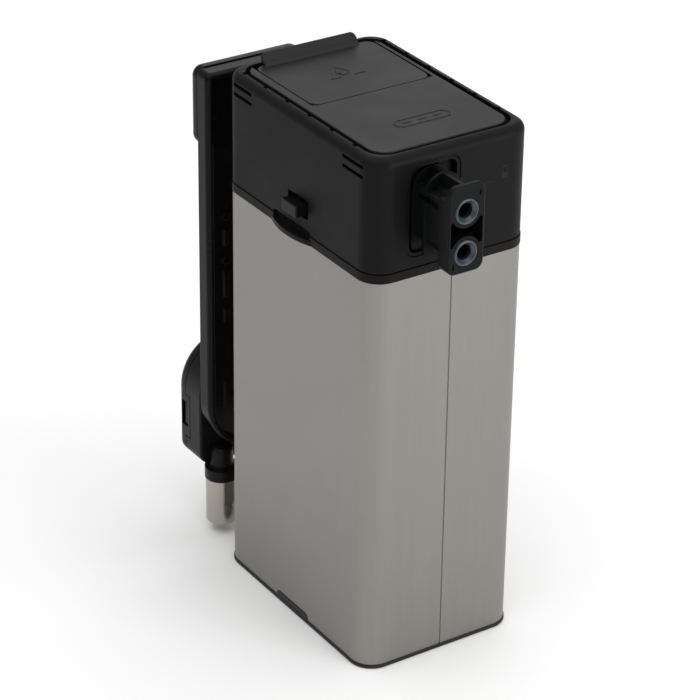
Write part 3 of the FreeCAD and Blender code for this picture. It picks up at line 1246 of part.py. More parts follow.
rear = new_body("spout_housing_rear")
extrude(rear, "RearBlock", "XZ", "dim.housing_seam", "dim.housing_rear",
        tongue("dim.housing_radius", HOUSING_REACH, "dim.housing_corner", way=-1),
        across="dim.hose_across", up="dim.strap_end")
soften(rear, "RearSoftEdge", "dim.housing_rear_round", lambda edge: lies_at(edge, 1, SIZES["housing_rear"]))
extrude(rear, "RearHollow", "XZ", "dim.housing_seam", "dim.housing_rear - dim.housing_wall",
        tongue("dim.housing_radius - dim.housing_wall", HOUSING_REACH + " - dim.housing_wall",
               "dim.housing_corner - dim.housing_wall", way=-1),
        across="dim.hose_across", up="dim.strap_end", cut=True)
extrude(rear, "RearPivotHole", "XZ", "dim.housing_rear - dim.housing_wall", "dim.housing_rear",
        disc("dim.pivot_radius"), across="dim.hose_across", up="dim.strap_end", cut=True)
extrude(rear, "RearColumnSeat", "XY", "dim.housing_low - 1", "dim.column_top", disc("dim.column_radius"),
        across="dim.spout_across", up="dim.spout_along", cut=True)
for side, sign in SIDES:
    extrude(rear, "RearSnapBay" + side, "YZ",
            *span(sign, "dim.snap_bay_inner", "dim.snap_bay_outer", "dim.hose_across"),
            rectangle("dim.snap_width + 2 * dim.snap_play", "dim.snap_tall + 2 * dim.snap_play"),
            across=SEAM, up="dim.snap_up", cut=True)

front = new_body("spout_housing_front")
extrude(front, "FrontBlock", "XZ", "dim.housing_face", "dim.housing_seam - dim.housing_gap",
        tongue("dim.housing_radius", HOUSING_REACH, "dim.housing_corner", way=-1),
        across="dim.hose_across", up="dim.strap_end")
soften(front, "FrontSoftEdge", "dim.housing_front_round", lambda edge: lies_at(edge, 1, SIZES["housing_face"]))
extrude(front, "FrontHollow", "XZ", "dim.housing_face + dim.housing_wall", "dim.housing_seam",
        tongue("dim.housing_radius - dim.housing_wall", HOUSING_REACH + " - dim.housing_wall",
               "dim.housing_corner - dim.housing_wall", way=-1),
        across="dim.hose_across", up="dim.strap_end", cut=True)
for side, sign in SIDES:
    snap = span(sign, "dim.snap_inner", "dim.snap_outer", "dim.hose_across")
    extrude(front, "FrontSnap" + side, "YZ", *snap, rectangle("dim.snap_width", "dim.snap_tall"),
            across=SEAM, up="dim.snap_up")
    extrude(front, "FrontSnapWindow" + side, "YZ", *snap,
            rounded("dim.snap_window_width", "dim.snap_window_tall", "dim.snap_window_radius"),
            across="dim.housing_seam - dim.snap_window_out", up="dim.snap_window_up", cut=True)

clips = []
for side, sign in SIDES:
    near, far = span(sign, "dim.spout_clip_inner", "dim.spout_clip_outer", "dim.hose_across")
    clip = doc.addObject("Part::Box", "SpoutClip" + side)
    clip.setExpression("Length", f"({far}) - ({near})")
    clip.setExpression("Width", "dim.spout_clip_deep")
    clip.setExpression("Height", "dim.spout_clip_tall")
    clip.setExpression("Placement.Base.x", near)
    clip.setExpression("Placement.Base.y", "dim.housing_seam - dim.spout_clip_out")
    clip.setExpression("Placement.Base.z", "dim.spout_clip_low")
    clips.append(clip)
group("spout_clips", clips)

COLUMN = {"across": "dim.spout_across", "up": "dim.spout_along"}

column = new_body("spout_column")
extrude(column, "ColumnPost", "XY", "dim.spout_collar_low", "dim.column_top", disc("dim.column_radius"), **COLUMN)
soften(column, "ColumnRoundTop", "dim.column_round", lambda edge: lies_at(edge, 2, SIZES["column_top"]))
extrude(column, "ColumnCollar", "XY", "dim.spout_collar_low", "dim.spout_collar_high", disc("dim.collar_radius"),
        **COLUMN)
extrude(column, "ColumnSpigot", "XY", "dim.spigot_low", "dim.spout_collar_low", disc("dim.spigot_radius"), **COLUMN)
extrude(column, "ColumnSealGroove", "XY", "dim.tip_groove_low", "dim.tip_groove_high", disc("dim.spigot_radius"),
        **COLUMN, cut=True)
extrude(column, "ColumnSealCore", "XY", "dim.tip_groove_low", "dim.tip_groove_high", disc("dim.tip_groove_radius"),
        **COLUMN)
extrude(column, "ColumnBore", "XY", "dim.spigot_low", "dim.column_bore_top", disc("dim.column_bore"),
        **COLUMN, cut=True)

tip = new_body("spout_tip")
extrude(tip, "TipSleeve", "XY", "dim.tip_low", "dim.spout_collar_low", disc("dim.tip_radius"), **COLUMN)
soften(tip, "TipSoftEdge", "dim.tip_round", lambda edge: lies_at(edge, 2, SIZES["tip_low"]))
extrude(tip, "TipBore", "XY", "dim.tip_low", "dim.spout_collar_low", disc("dim.tip_bore"), **COLUMN, cut=True)
extrude(tip, "TipFlute", "XZ", "dim.spout_along + dim.flute_near", "dim.spout_along + dim.flute_far",
        rounded("dim.flute_width", "dim.flute_tall", "dim.flute_radius"),
        across="dim.spout_across", up="dim.spout_collar_low", cut=True)

tip_seal = new_body("tip_seal")
for name, radius in (("Ring", "dim.tip_bore"), ("Bore", "dim.tip_groove_radius")):
    extrude(tip_seal, "TipSeal" + name, "XY", "dim.tip_groove_low + dim.fit_gap",
            "dim.tip_groove_high - dim.fit_gap", disc(radius), **COLUMN, cut=name == "Bore")

pivot = new_body("spout_pivot")
extrude(pivot, "PivotBarrel", "XZ", "dim.pivot_front", "dim.pivot_rear", disc("dim.pivot_radius"),
        across="dim.hose_across", up="dim.strap_end")
extrude(pivot, "PivotFlange", "XZ", "dim.pivot_flange_front", "dim.pivot_flange_rear",
        disc("dim.pivot_flange_radius"), across="dim.hose_across", up="dim.strap_end")
extrude(pivot, "PivotBore", "XZ", "dim.pivot_bore_front", "dim.pivot_rear", disc("dim.pivot_bore"),
        across="dim.hose_across", up="dim.strap_end", cut=True)

hose("spout_tube",
     ((SIZES["hose_across"], SIZES["spout_tube_along"], SIZES["spout_tube_top"]),
      (SIZES["hose_across"], SIZES["spout_tube_along"], SIZES["spout_tube_corner"]),
      (SIZES["spout_tube_end_across"], SIZES["spout_tube_end_along"], SIZES["spout_tube_end_up"])),
     SIZES["spout_tube_radius"], SIZES["spout_tube_bore"], SIZES["spout_tube_bend"])

# ---------------------------------------------------------------- check and write
doc.recompute()
for item in doc.Objects:
    if "Invalid" in item.State or "Error" in item.State:
        raise RuntimeError(f"{item.Name} ({item.Label}) failed: {item.State}")
    if item.TypeId == "PartDesign::Pocket":
        before = item.BaseFeature.Shape.Volume
        if not item.Shape.Volume < before - 1e-6:
            raise RuntimeError(f"{item.Name} cuts nothing")
for piece in pieces:
    if piece.Shape.isNull() or not piece.Shape.isValid():
        raise RuntimeError(f"{piece.Label} has no valid shape")

os.makedirs("parts", exist_ok=True)
for piece in pieces:
    piece.Shape.exportStep(f"parts/{piece.Label}.step")
print(len(pieces), "sub-parts written")
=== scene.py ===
"""Looks of an insulated milk carafe: a steel jug, a plug-in frothing lid and a milk spout on a strap."""

import math

import bmesh
import bpy
from mathutils import Matrix, Vector


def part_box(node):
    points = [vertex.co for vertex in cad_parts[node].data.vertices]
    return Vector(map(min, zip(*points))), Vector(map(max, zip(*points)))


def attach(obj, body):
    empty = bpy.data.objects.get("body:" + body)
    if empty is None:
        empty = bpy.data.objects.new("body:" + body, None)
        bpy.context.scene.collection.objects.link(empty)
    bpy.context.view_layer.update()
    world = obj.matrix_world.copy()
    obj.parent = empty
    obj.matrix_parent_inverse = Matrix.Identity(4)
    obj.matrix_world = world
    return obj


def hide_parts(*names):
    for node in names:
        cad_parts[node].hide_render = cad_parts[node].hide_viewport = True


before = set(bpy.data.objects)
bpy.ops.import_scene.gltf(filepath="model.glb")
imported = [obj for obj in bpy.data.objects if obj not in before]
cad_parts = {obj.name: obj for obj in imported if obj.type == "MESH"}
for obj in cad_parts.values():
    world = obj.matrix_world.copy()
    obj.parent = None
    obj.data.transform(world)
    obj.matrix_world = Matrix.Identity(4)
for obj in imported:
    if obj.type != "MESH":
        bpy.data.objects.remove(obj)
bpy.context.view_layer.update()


# ---------------------------------------------------------------- steel sleeve
# The jug's outer wall is 0.8 mm stainless sheet, folded round and joined down the
# middle of the side that faces the machine.  It is brushed from top to bottom
# before it is folded, so the fine lines stay upright round the corners.

def place(tree, kind, sockets=None, **settings):
    """New node in a tree; a socket's value is a number, a colour or the output that feeds it."""
    node = tree.nodes.new(kind)
    for name, setting in settings.items():
        setattr(node, name, setting)
    for name, value in (sockets or {}).items():
        if isinstance(value, bpy.types.NodeSocket):
            tree.links.new(value, node.inputs[name])
        else:
            node.inputs[name].default_value = value
    return node


def effect(name, inputs, outputs):
    """Empty effect group with number inputs; returns it with its input node and output node."""
    tree = bpy.data.node_groups.new(name, "ShaderNodeTree")
    for label, value in inputs.items():
        socket = tree.interface.new_socket(label, in_out="INPUT", socket_type="NodeSocketFloat")
        socket.default_value = value
    for label, kind in outputs.items():
        tree.interface.new_socket(label, in_out="OUTPUT", socket_type=kind)
    return tree, tree.nodes.new("NodeGroupInput"), tree.nodes.new("NodeGroupOutput")


def brush_lines():
    """Upright brush lines: a fine one for the relief and a broad one for the shade."""
    tree, given, made = effect(
        "Brush lines", {"Lines per metre": 2400.0, "Stretch": 60.0},
        {"Relief": "NodeSocketFloat", "Shade": "NodeSocketFloat"})
    spot = place(tree, "ShaderNodeTexCoord").outputs["Object"]
    along = place(tree, "ShaderNodeMath", {0: given.outputs["Lines per metre"], 1: given.outputs["Stretch"]},
                  operation="DIVIDE").outputs[0]
    pull = place(tree, "ShaderNodeCombineXYZ", {"X": given.outputs["Lines per metre"],
                                                "Y": given.outputs["Lines per metre"], "Z": along})
    pulled = place(tree, "ShaderNodeVectorMath", {0: spot, 1: pull.outputs[0]},
                   operation="MULTIPLY").outputs[0]
    fine = place(tree, "ShaderNodeTexNoise",
                 {"Vector": pulled, "Scale": 1.0, "Detail": 3.0, "Roughness": 0.6})
    broad = place(tree, "ShaderNodeTexNoise", {"Vector": pulled, "Scale": 0.16, "Detail": 2.0})
    tree.links.new(fine.outputs[0], made.inputs["Relief"])
    mixed = place(tree, "ShaderNodeMath", {0: fine.outputs[0], 1: broad.outputs[0]}, operation="ADD")
    half = place(tree, "ShaderNodeMath", {0: mixed.outputs[0], 1: 0.5}, operation="MULTIPLY")
    tree.links.new(half.outputs[0], made.inputs["Shade"])
    return tree


def edge_wear():
    """Where a hard edge catches hands and light: a patchy mask, and a normal that rounds the edge."""
    tree, given, made = effect(
        "Edge wear", {"Width": 0.0004, "Patches per metre": 160.0},
        {"Mask": "NodeSocketFloat", "Soft normal": "NodeSocketVector"})
    soft = place(tree, "ShaderNodeBevel", {"Radius": given.outputs["Width"]}, samples=6)
    flat = place(tree, "ShaderNodeNewGeometry")
    facing = place(tree, "ShaderNodeVectorMath", {0: soft.outputs[0], 1: flat.outputs["Normal"]},
                   operation="DOT_PRODUCT")
    edge = place(tree, "ShaderNodeMapRange",
                 {"Value": facing.outputs["Value"], "From Min": 0.99, "From Max": 0.80})
    spot = place(tree, "ShaderNodeTexCoord").outputs["Object"]
    noise = place(tree, "ShaderNodeTexNoise", {"Vector": spot, "Scale": given.outputs["Patches per metre"],
                                               "Detail": 3.0})
    patch = place(tree, "ShaderNodeMapRange", {"Value": noise.outputs[0], "From Min": 0.38, "From Max": 0.62})
    mask = place(tree, "ShaderNodeMath", {0: edge.outputs[0], 1: patch.outputs[0]}, operation="MULTIPLY")
    tree.links.new(mask.outputs[0], made.inputs["Mask"])
    tree.links.new(soft.outputs[0], made.inputs["Soft normal"])
    return tree


def smudges():
    """Faint cloudy marks that hands and a wiping cloth leave, 0 where clean."""
    tree, given, made = effect("Smudges", {"Marks per metre": 24.0}, {"Mask": "NodeSocketFloat"})
    spot = place(tree, "ShaderNodeTexCoord").outputs["Object"]
    cloud = place(tree, "ShaderNodeTexNoise", {"Vector": spot, "Scale": given.outputs["Marks per metre"],
                                               "Detail": 4.0, "Roughness": 0.55, "Distortion": 0.4})
    mask = place(tree, "ShaderNodeMapRange", {"Value": cloud.outputs[0], "From Min": 0.42, "From Max": 0.68})
    tree.links.new(mask.outputs[0], made.inputs["Mask"])
    return tree


BRUSH_LINES = brush_lines()
EDGE_WEAR = edge_wear()
SMUDGES = smudges()


def steel(name, dark, light, roughness, lines, stretch, relief, anisotropic=0.5):
    """Stainless steel whose colour runs between two greys along its brush lines."""
    material = bpy.data.materials.new(name)
    material.use_nodes = True
    tree = material.node_tree
    brushed = place(tree, "ShaderNodeGroup", {"Lines per metre": lines, "Stretch": stretch},
                    node_tree=BRUSH_LINES)
    worn = place(tree, "ShaderNodeGroup", {"Width": 0.0003}, node_tree=EDGE_WEAR)
    smudged = place(tree, "ShaderNodeGroup", node_tree=SMUDGES)
    # sockets 6 and 7 are the two colours of a colour mix
    colour = place(tree, "ShaderNodeMix",
                   {"Factor": brushed.outputs["Shade"], 6: (*dark, 1), 7: (*light, 1)}, data_type="RGBA")
    rough = place(tree, "ShaderNodeMapRange",
                  {"Value": brushed.outputs["Shade"], "From Min": 0.3, "From Max": 0.7,
                   "To Min": roughness - 0.04, "To Max": roughness + 0.04})
    rougher = place(tree, "ShaderNodeMath", {0: smudged.outputs["Mask"], 1: 0.05, 2: rough.outputs[0]},
                    operation="MULTIPLY_ADD")
    bump = place(tree, "ShaderNodeBump", {"Strength": relief, "Distance": 0.00003,
                                          "Height": brushed.outputs["Relief"],
                                          "Normal": worn.outputs["Soft normal"]})
    shader = tree.nodes["Principled BSDF"]
    shader.inputs["Metallic"].default_value = 1.0
    shader.inputs["Anisotropic"].default_value = anisotropic
    tree.links.new(colour.outputs[2], shader.inputs["Base Color"])
    tree.links.new(rougher.outputs[0], shader.inputs["Roughness"])
    tree.links.new(bump.outputs[0], shader.inputs["Normal"])
    return material


def coat(node, material):
    """Give a CAD node its material."""
    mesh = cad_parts[node].data
    mesh.materials.clear()
    mesh.materials.append(material)


coat("steel_sleeve", steel("SleeveSteel", dark=(0.235, 0.228, 0.212), light=(0.30, 0.294, 0.276),
                           roughness=0.42, lines=2600.0, stretch=70.0, relief=0.5))

# ---------------------------------------------------------------- inner liner
# The milk tank is a second, deep-drawn steel pot that hangs inside the sleeve with
# an air gap round it.  It is finer and brighter than the outside.
coat("inner_liner", steel("LinerSteel", dark=(0.40, 0.40, 0.39), light=(0.52, 0.52, 0.51),
                          roughness=0.30, lines=3200.0, stretch=25.0, relief=0.35))


# ---------------------------------------------------------------- collar and base
# Black polypropylene rings close the two ends of the sleeve.  The collar carries the
# liner and the latch slots; the pan clips into the sleeve's two side notches and
# holds the cradle, four screws and a grooved rubber mat.

def spark_grain():
    """Spark-eroded mould texture: fine pits for relief and a slow mottle for shade."""
    tree, given, made = effect("Spark grain", {"Pits per metre": 1500.0},
                               {"Relief": "NodeSocketFloat", "Mottle": "NodeSocketFloat"})
    spot = place(tree, "ShaderNodeTexCoord").outputs["Object"]
    pits = place(tree, "ShaderNodeTexVoronoi", {"Vector": spot, "Scale": given.outputs["Pits per metre"]},
                 feature="SMOOTH_F1")
    grit = place(tree, "ShaderNodeTexNoise", {"Vector": spot, "Scale": given.outputs["Pits per metre"],
                                              "Detail": 2.0})
    relief = place(tree, "ShaderNodeMath", {0: pits.outputs["Distance"], 1: grit.outputs[0]}, operation="ADD")
    tree.links.new(relief.outputs[0], made.inputs["Relief"])
    mottle = place(tree, "ShaderNodeTexNoise",
                   {"Vector": spot, "Scale": 42.0, "Detail": 5.0, "Roughness": 0.6})
    tree.links.new(mottle.outputs[0], made.inputs["Mottle"])
    return tree


SPARK_GRAIN = spark_grain()


def moulding(name, colour, roughness, pits=1500.0, relief=0.3, shine=0.3, wear=0.35, edge=0.0004):
    """Injection-moulded plastic: fine texture, slow mottle, softened edges that are rubbed lighter."""
    material = bpy.data.materials.new(name)
    material.use_nodes = True
    tree = material.node_tree
    grain = place(tree, "ShaderNodeGroup", {"Pits per metre": pits}, node_tree=SPARK_GRAIN)
    worn = place(tree, "ShaderNodeGroup", {"Width": edge}, node_tree=EDGE_WEAR)
    smudged = place(tree, "ShaderNodeGroup", {"Marks per metre": 30.0}, node_tree=SMUDGES)
    darker, lighter = [c * 0.88 for c in colour], [c * 1.14 for c in colour]
    mottled = place(tree, "ShaderNodeMix",
                    {"Factor": grain.outputs["Mottle"], 6: (*darker, 1), 7: (*lighter, 1)}, data_type="RGBA")
    rubbed = [min(1.0, c * 1.8 + 0.012) for c in colour]
    rub = place(tree, "ShaderNodeMath", {0: worn.outputs["Mask"], 1: wear}, operation="MULTIPLY")
    shade = place(tree, "ShaderNodeMix", {"Factor": rub.outputs[0], 6: mottled.outputs[2], 7: (*rubbed, 1)},
                  data_type="RGBA")
    rough = place(tree, "ShaderNodeMapRange",
                  {"Value": grain.outputs["Mottle"], "From Min": 0.3, "From Max": 0.7,
                   "To Min": roughness - 0.03, "To Max": roughness + 0.03})
    wiped = place(tree, "ShaderNodeMath", {0: smudged.outputs["Mask"], 1: -0.05, 2: rough.outputs[0]},
                  operation="MULTIPLY_ADD")
    bump = place(tree, "ShaderNodeBump", {"Strength": relief, "Distance": 0.00004,
                                          "Height": grain.outputs["Relief"],
                                          "Normal": worn.outputs["Soft normal"]})
    shader = tree.nodes["Principled BSDF"]
    shader.inputs["Specular IOR Level"].default_value = shine
    tree.links.new(shade.outputs[2], shader.inputs["Base Color"])
    tree.links.new(wiped.outputs[0], shader.inputs["Roughness"])
    tree.links.new(bump.outputs[0], shader.inputs["Normal"])
    return material


BASE_PLASTIC = moulding("BasePlastic", (0.010, 0.010, 0.010), 0.45, shine=0.25)
for node in ("top_collar", "base_pan", "liner_cradle"):
    coat(node, BASE_PLASTIC)
coat("base_foot", moulding("FootRubber", (0.014, 0.014, 0.014), 0.75, pits=900.0, relief=0.5,
                           shine=0.15, wear=0.1))
SCREW_STEEL = steel("ScrewSteel", dark=(0.30, 0.30, 0.30), light=(0.42, 0.42, 0.41),
                    roughness=0.28, lines=1500.0, stretch=1.0, relief=0.2, anisotropic=0.0)
coat("base_screws", SCREW_STEEL)

# ---------------------------------------------------------------- lid shell
# The lid's shell and the band under it are matt black ABS with a fine spark texture.
# The band is a separate moulding with a finger tab in the middle of each long side.
LID_PLASTIC = moulding("LidPlastic", (0.0055, 0.0055, 0.0055), 0.50, shine=0.085, relief=0.30)
for node in ("lid_shell", "lid_band"):
    coat(node, LID_PLASTIC)

# ---------------------------------------------------------------- underside of the lid
# A black plate closes the lid from below.  It plugs the jug with a grey silicone ring in
# its groove, and four cross-head screws pull it up against the shell.  A square neck
# leads the milk from the filling hole down through it.
for node in ("lid_underplate", "fill_neck"):
    coat(node, BASE_PLASTIC)
SILICONE_GREY = moulding("SiliconeGrey", (0.11, 0.12, 0.13), 0.55, pits=700.0, relief=0.1,
                         shine=0.4, wear=0.1)
coat("lid_gasket", SILICONE_GREY)


def cross_head_screws(name, node, axis, head_radius, head_height, body, material):
    """Pan heads with a cross recess and a short visible shank, one over each solid of a CAD node."""
    out = Vector(axis)
    across = Vector((1, 0, 0))
    turn = Matrix((across, out.cross(across), out)).transposed()
    # centres of the node's separate solids, found by gathering vertices that lie close together
    apart = 0.005
    middles = []
    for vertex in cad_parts[node].data.vertices:
        level = vertex.co.dot(out)
        flat = vertex.co - out * level
        for middle in middles:
            if (middle["sum"] / middle["count"] - flat).length < apart:
                middle["sum"] += flat
                middle["count"] += 1
                middle["top"] = max(middle["top"], level)
                middle["low"] = min(middle["low"], level)
                break
        else:
            middles.append({"sum": flat.copy(), "count": 1, "top": level, "low": level})
    w, r, cross_depth = 0.22 * head_radius, 0.58 * head_radius, 0.62 * head_height
    cross_taper = 0.8
    shank, shank_tip = 0.5 * head_radius, 0.0006
    steps = 48
    made = bmesh.new()
    for middle in middles:
        centre = middle["sum"] / middle["count"]
        top, low = middle["top"], middle["low"]
        # one ring of points per level: shank end, shank, underside, rim and the domed top
        profile = [(shank * 0.8, low), (shank, low + shank_tip), (shank, top - head_height),
                   (head_radius, top - head_height), (head_radius, top - 0.55 * head_height),
                   (head_radius * 0.93, top - 0.2 * head_height),
                   (head_radius * 0.8, top - 0.03 * head_height), (head_radius * 0.68, top)]
        rings = []
        for radius, level in profile:
            rings.append([made.verts.new(centre + out * level + turn @ Vector(
                (radius * math.cos(2 * math.pi * i / steps), radius * math.sin(2 * math.pi * i / steps), 0)))
                for i in range(steps)])
        for lower, upper in zip(rings, rings[1:]):
            for i in range(steps):
                made.faces.new((lower[i], lower[(i + 1) % steps], upper[(i + 1) % steps], upper[i]))
        made.faces.new(list(reversed(rings[0])))
        # the cross: twelve corners on the top and twelve a little closer in at the bottom of the recess
        corners = [(w, w), (w, r), (-w, r), (-w, w), (-r, w), (-r, -w),
                   (-w, -w), (-w, -r), (w, -r), (w, -w), (r, -w), (r, w)]
        lip = [made.verts.new(centre + out * top + turn @ Vector((x, y, 0))) for x, y in corners]
        floor = [made.verts.new(centre + out * (top - cross_depth)
                                + turn @ Vector((x * cross_taper, y * cross_taper, 0)))
                 for x, y in corners]
        sides = len(corners)
        for i in range(sides):
            made.faces.new((lip[i], floor[i], floor[(i + 1) % sides], lip[(i + 1) % sides]))
        made.faces.new(floor)
        rim_edges = [made.edges.get((rings[-1][i], rings[-1][(i + 1) % steps])) for i in range(steps)]
        lip_edges = [made.edges.get((lip[i], lip[(i + 1) % sides])) for i in range(sides)]
        bmesh.ops.triangle_fill(made, edges=rim_edges + lip_edges, use_beauty=True)
    bmesh.ops.recalc_face_normals(made, faces=made.faces)
    mesh = bpy.data.meshes.new(name)
    made.to_mesh(mesh)
    made.free()
    mesh.materials.append(material)
    screws = bpy.data.objects.new(name, mesh)
    bpy.context.scene.collection.objects.link(screws)
    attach(screws, body)
    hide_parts(node)


cross_head_screws("lid_cross_screws", "lid_screws", axis=(0, 0, -1), head_radius=0.0021, head_height=0.0015,
                  body="lid", material=SCREW_STEEL)

# ---------------------------------------------------------------- top cover
# The lid's loose top plate is a satin black moulding that drops into the shell's tray.
# It carries a small raised badge of plain bars inside a rounded outline, and the pins
# of the filling flap run into it.
COVER_PLASTIC = moulding("CoverPlastic", (0.0095, 0.0095, 0.0095), 0.46, shine=0.17, relief=0.28)
coat("top_cover", COVER_PLASTIC)


def raised_lines(name, lines, width, height, centre, across, up, material, body, closed=()):
    """Rounded beads that stand on a face: lines are lists of (across, up) points in millimetres."""
    millimetre = 0.001
    curve = bpy.data.curves.new(name, "CURVE")
    curve.dimensions = "3D"
    curve.bevel_depth = width / 2
    curve.bevel_resolution = 3
    curve.use_fill_caps = True
    for number, points in enumerate(lines):
        spline = curve.splines.new("POLY")
        spline.points.add(len(points) - 1)
        for point, (x, y) in zip(spline.points, points):
            point.co = (x * millimetre, y * millimetre, 0, 1)
        spline.use_cyclic_u = number in closed
    draft = bpy.data.objects.new(name + "_draft", curve)
    bpy.context.scene.collection.objects.link(draft)
    bpy.context.view_layer.update()
    finished = draft.evaluated_get(bpy.context.evaluated_depsgraph_get())
    mesh = bpy.data.meshes.new_from_object(finished)
    bpy.data.objects.remove(draft)
    out = Vector(across).cross(Vector(up))
    turn = Matrix((Vector(across), Vector(up), out)).transposed().to_4x4()
    flatten = Matrix.Diagonal((1, 1, 2 * height / width, 1))
    mesh.transform(Matrix.Translation(Vector(centre)) @ turn @ flatten)
    mesh.materials.clear()
    mesh.materials.append(material)
    for polygon in mesh.polygons:
        polygon.use_smooth = True
    beads = bpy.data.objects.new(name, mesh)
    bpy.context.scene.collection.objects.link(beads)
    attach(beads, body)


def oblong(length, width, steps=10):
    """Points of an outline with two half-round ends, about the origin."""
    points = []
    for side in (1, -1):
        for i in range(steps + 1):
            angle = side * math.pi / 2 - i * math.pi / steps
            middle = side * (length - width) / 2
            points.append((middle + width / 2 * math.cos(angle), width / 2 * math.sin(angle)))
    return points


cover_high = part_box("top_cover")[1]
half_bar, bar_pitch, bead_sunk = 2.1, 7.6, 0.00002
badge_bars = [[(x - half_bar, 0), (x + half_bar, 0)] for x in (-bar_pitch, 0, bar_pitch)]
raised_lines("cover_badge", [oblong(27, 6.4)] + badge_bars, width=0.0007, height=0.00022,
             centre=(-0.0024, 0.0307, cover_high.z - bead_sunk), across=(1, 0, 0), up=(0, 1, 0),
             material=COVER_PLASTIC, body="lid", closed=(0,))

# ---------------------------------------------------------------- filling flap
# The flap over the filling hole is one moulding with an upturned lip to lift it by.  It
# turns on a steel wire, carries a grey silicone stopper underneath, and has a raised
# milk drop in its middle.
coat("fill_flap", COVER_PLASTIC)
coat("flap_seal", SILICONE_GREY)
coat("flap_hinge_pin", steel("PinSteel", dark=(0.03, 0.03, 0.03), light=(0.05, 0.05, 0.05),
                             roughness=0.40, lines=1500.0, stretch=1.0, relief=0.2, anisotropic=0.0))


def drop_outline(height, width, steps=18):
    """A liquid drop: a round belly that runs up to a point."""
    belly_start, belly_turn = -200, 220
    points = []
    for i in range(steps + 1):
        angle = math.radians(belly_start + belly_turn * i / steps)
        points.append((width / 2 * math.cos(angle), width / 2 * math.sin(angle)))
    return points + [(0, height - width / 2)]


gleam = [(-1.5, 0.6), (-1.75, -0.2), (-1.4, -1.1)]
milk_level = [[(-8.6, -4.4), (-3.4, -4.4)], [(3.4, -4.4), (8.6, -4.4)]]
plate_top = cover_high.z - 0.00005
raised_lines("flap_milk_drop", [drop_outline(9.0, 5.6), gleam] + milk_level, width=0.0007, height=0.00025,
             centre=(-0.001, -0.0275, plate_top - bead_sunk), across=(-1, 0, 0), up=(0, -1, 0),
             material=COVER_PLASTIC, body="flap", closed=(0,))

# ---------------------------------------------------------------- plug for the machine
# The plug stands out of a bay in the lid's rear face: a ribbed black body that ends in a
# plate with two ports, each lined with a bluish silicone seal.  Drawn steel tubes lead
# from the ports into the frothing chamber.
PLUG_PLASTIC = moulding("PlugPlastic", (0.0045, 0.0048, 0.0052), 0.40, shine=0.085, relief=0.22)
coat("plug_frame", LID_PLASTIC)
coat("machine_plug", PLUG_PLASTIC)
PORT_SILICONE = moulding("PortSilicone", (0.018, 0.024, 0.034), 0.30, pits=800.0, relief=0.06,
                         shine=0.6, wear=0.5)
for node in ("port_seal_upper", "port_seal_lower"):
    coat(node, PORT_SILICONE)
TUBE_STEEL = steel("TubeSteel", dark=(0.42, 0.42, 0.41), light=(0.55, 0.55, 0.54),
                   roughness=0.22, lines=1800.0, stretch=40.0, relief=0.15)
for node in ("steam_tube", "air_tube", "milk_intake_tube"):
    coat(node, TUBE_STEEL)

# printed on the lid beside the plug: a padlock and a dash that show which way it locks
PRINT_GREY = moulding("PrintGrey", (0.006, 0.006, 0.007), 0.6, pits=1200.0, relief=0.1, shine=0.2, wear=0.0)
shell_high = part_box("lid_shell")[1]
bow_half, bow_foot, bow_spring, bow_rise = 1.3, 0.4, 1.6, 1.5
shackle = [(bow_half * math.cos(math.radians(angle)), bow_spring + bow_rise * math.sin(math.radians(angle)))
           for angle in range(0, 181, 15)]
shackle = [(bow_half, bow_foot)] + shackle + [(-bow_half, bow_foot)]
lock_half, lock_row = 1.7, 0.6
lock_rows = [[(-lock_half, -row * lock_row), (lock_half, -row * lock_row)] for row in range(5)]
raised_lines("lock_mark", [shackle] + lock_rows, width=0.0007, height=0.00006,
             centre=(-0.0252, shell_high.y, 0.2268), across=(-1, 0, 0), up=(0, 0, 1),
             material=PRINT_GREY, body="lid")
raised_lines("lock_dash", [[(0, 0), (4.2, 0)]], width=0.0005, height=0.00005,
             centre=(-0.0150, shell_high.y, 0.2242), across=(-1, 0, 0), up=(0, 0, 1),
             material=PRINT_GREY, body="lid")

# ---------------------------------------------------------------- frothing chamber
# A smooth grey box inside the lid where steam, air and milk meet.  A flat cap closes it.
CHAMBER_PLASTIC = moulding("ChamberPlastic", (0.10, 0.10, 0.105), 0.30, pits=600.0, relief=0.05, shine=0.5)
for node in ("froth_chamber", "froth_chamber_cap"):
    coat(node, CHAMBER_PLASTIC)

# ---------------------------------------------------------------- release buttons
# One button in each long side of the lid.  Pressed together they draw the latch arms
# out of the collar; a steel coil behind each pushes it back.
BUTTON_PLASTIC = moulding("ButtonPlastic", (0.005, 0.005, 0.005), 0.34, shine=0.12, relief=0.15)
for side in ("left", "right"):
    coat("release_button_" + side, BUTTON_PLASTIC)
    coat("button_spring_" + side, SCREW_STEEL)

# ---------------------------------------------------------------- strap
# The strap hangs from the lid in front of the jug: a glossy black trough whose open side
# faces the jug, lined with a ribbed cover that four screws hold.  It hides the milk hose.
STRAP_PLASTIC = moulding("StrapPlastic", (0.0035, 0.0035, 0.0038), 0.26, pits=500.0, relief=0.05,
                         shine=0.10, wear=0.2, edge=0.0006)
for node in ("strap_shell", "strap_fascia", "bridge_duct", "swivel_elbow"):
    coat(node, STRAP_PLASTIC)
# the lining's faint blue tint is painted: it stands for a bluish reflection in its gloss
coat("strap_inner_cover", moulding("LiningPlasticBlueReflection", (0.004, 0.0045, 0.0045), 0.18, pits=600.0, relief=0.03,
                                   shine=0.45, wear=0.2))
BLACK_STEEL = steel("BlackSteel", dark=(0.012, 0.012, 0.012), light=(0.02, 0.02, 0.02),
                    roughness=0.35, lines=1500.0, stretch=1.0, relief=0.2, anisotropic=0.0)
cross_head_screws("strap_cross_screws", "strap_screws", axis=(0, 1, 0), head_radius=0.0023,
                  head_height=0.0013, body="lid", material=BLACK_STEEL)

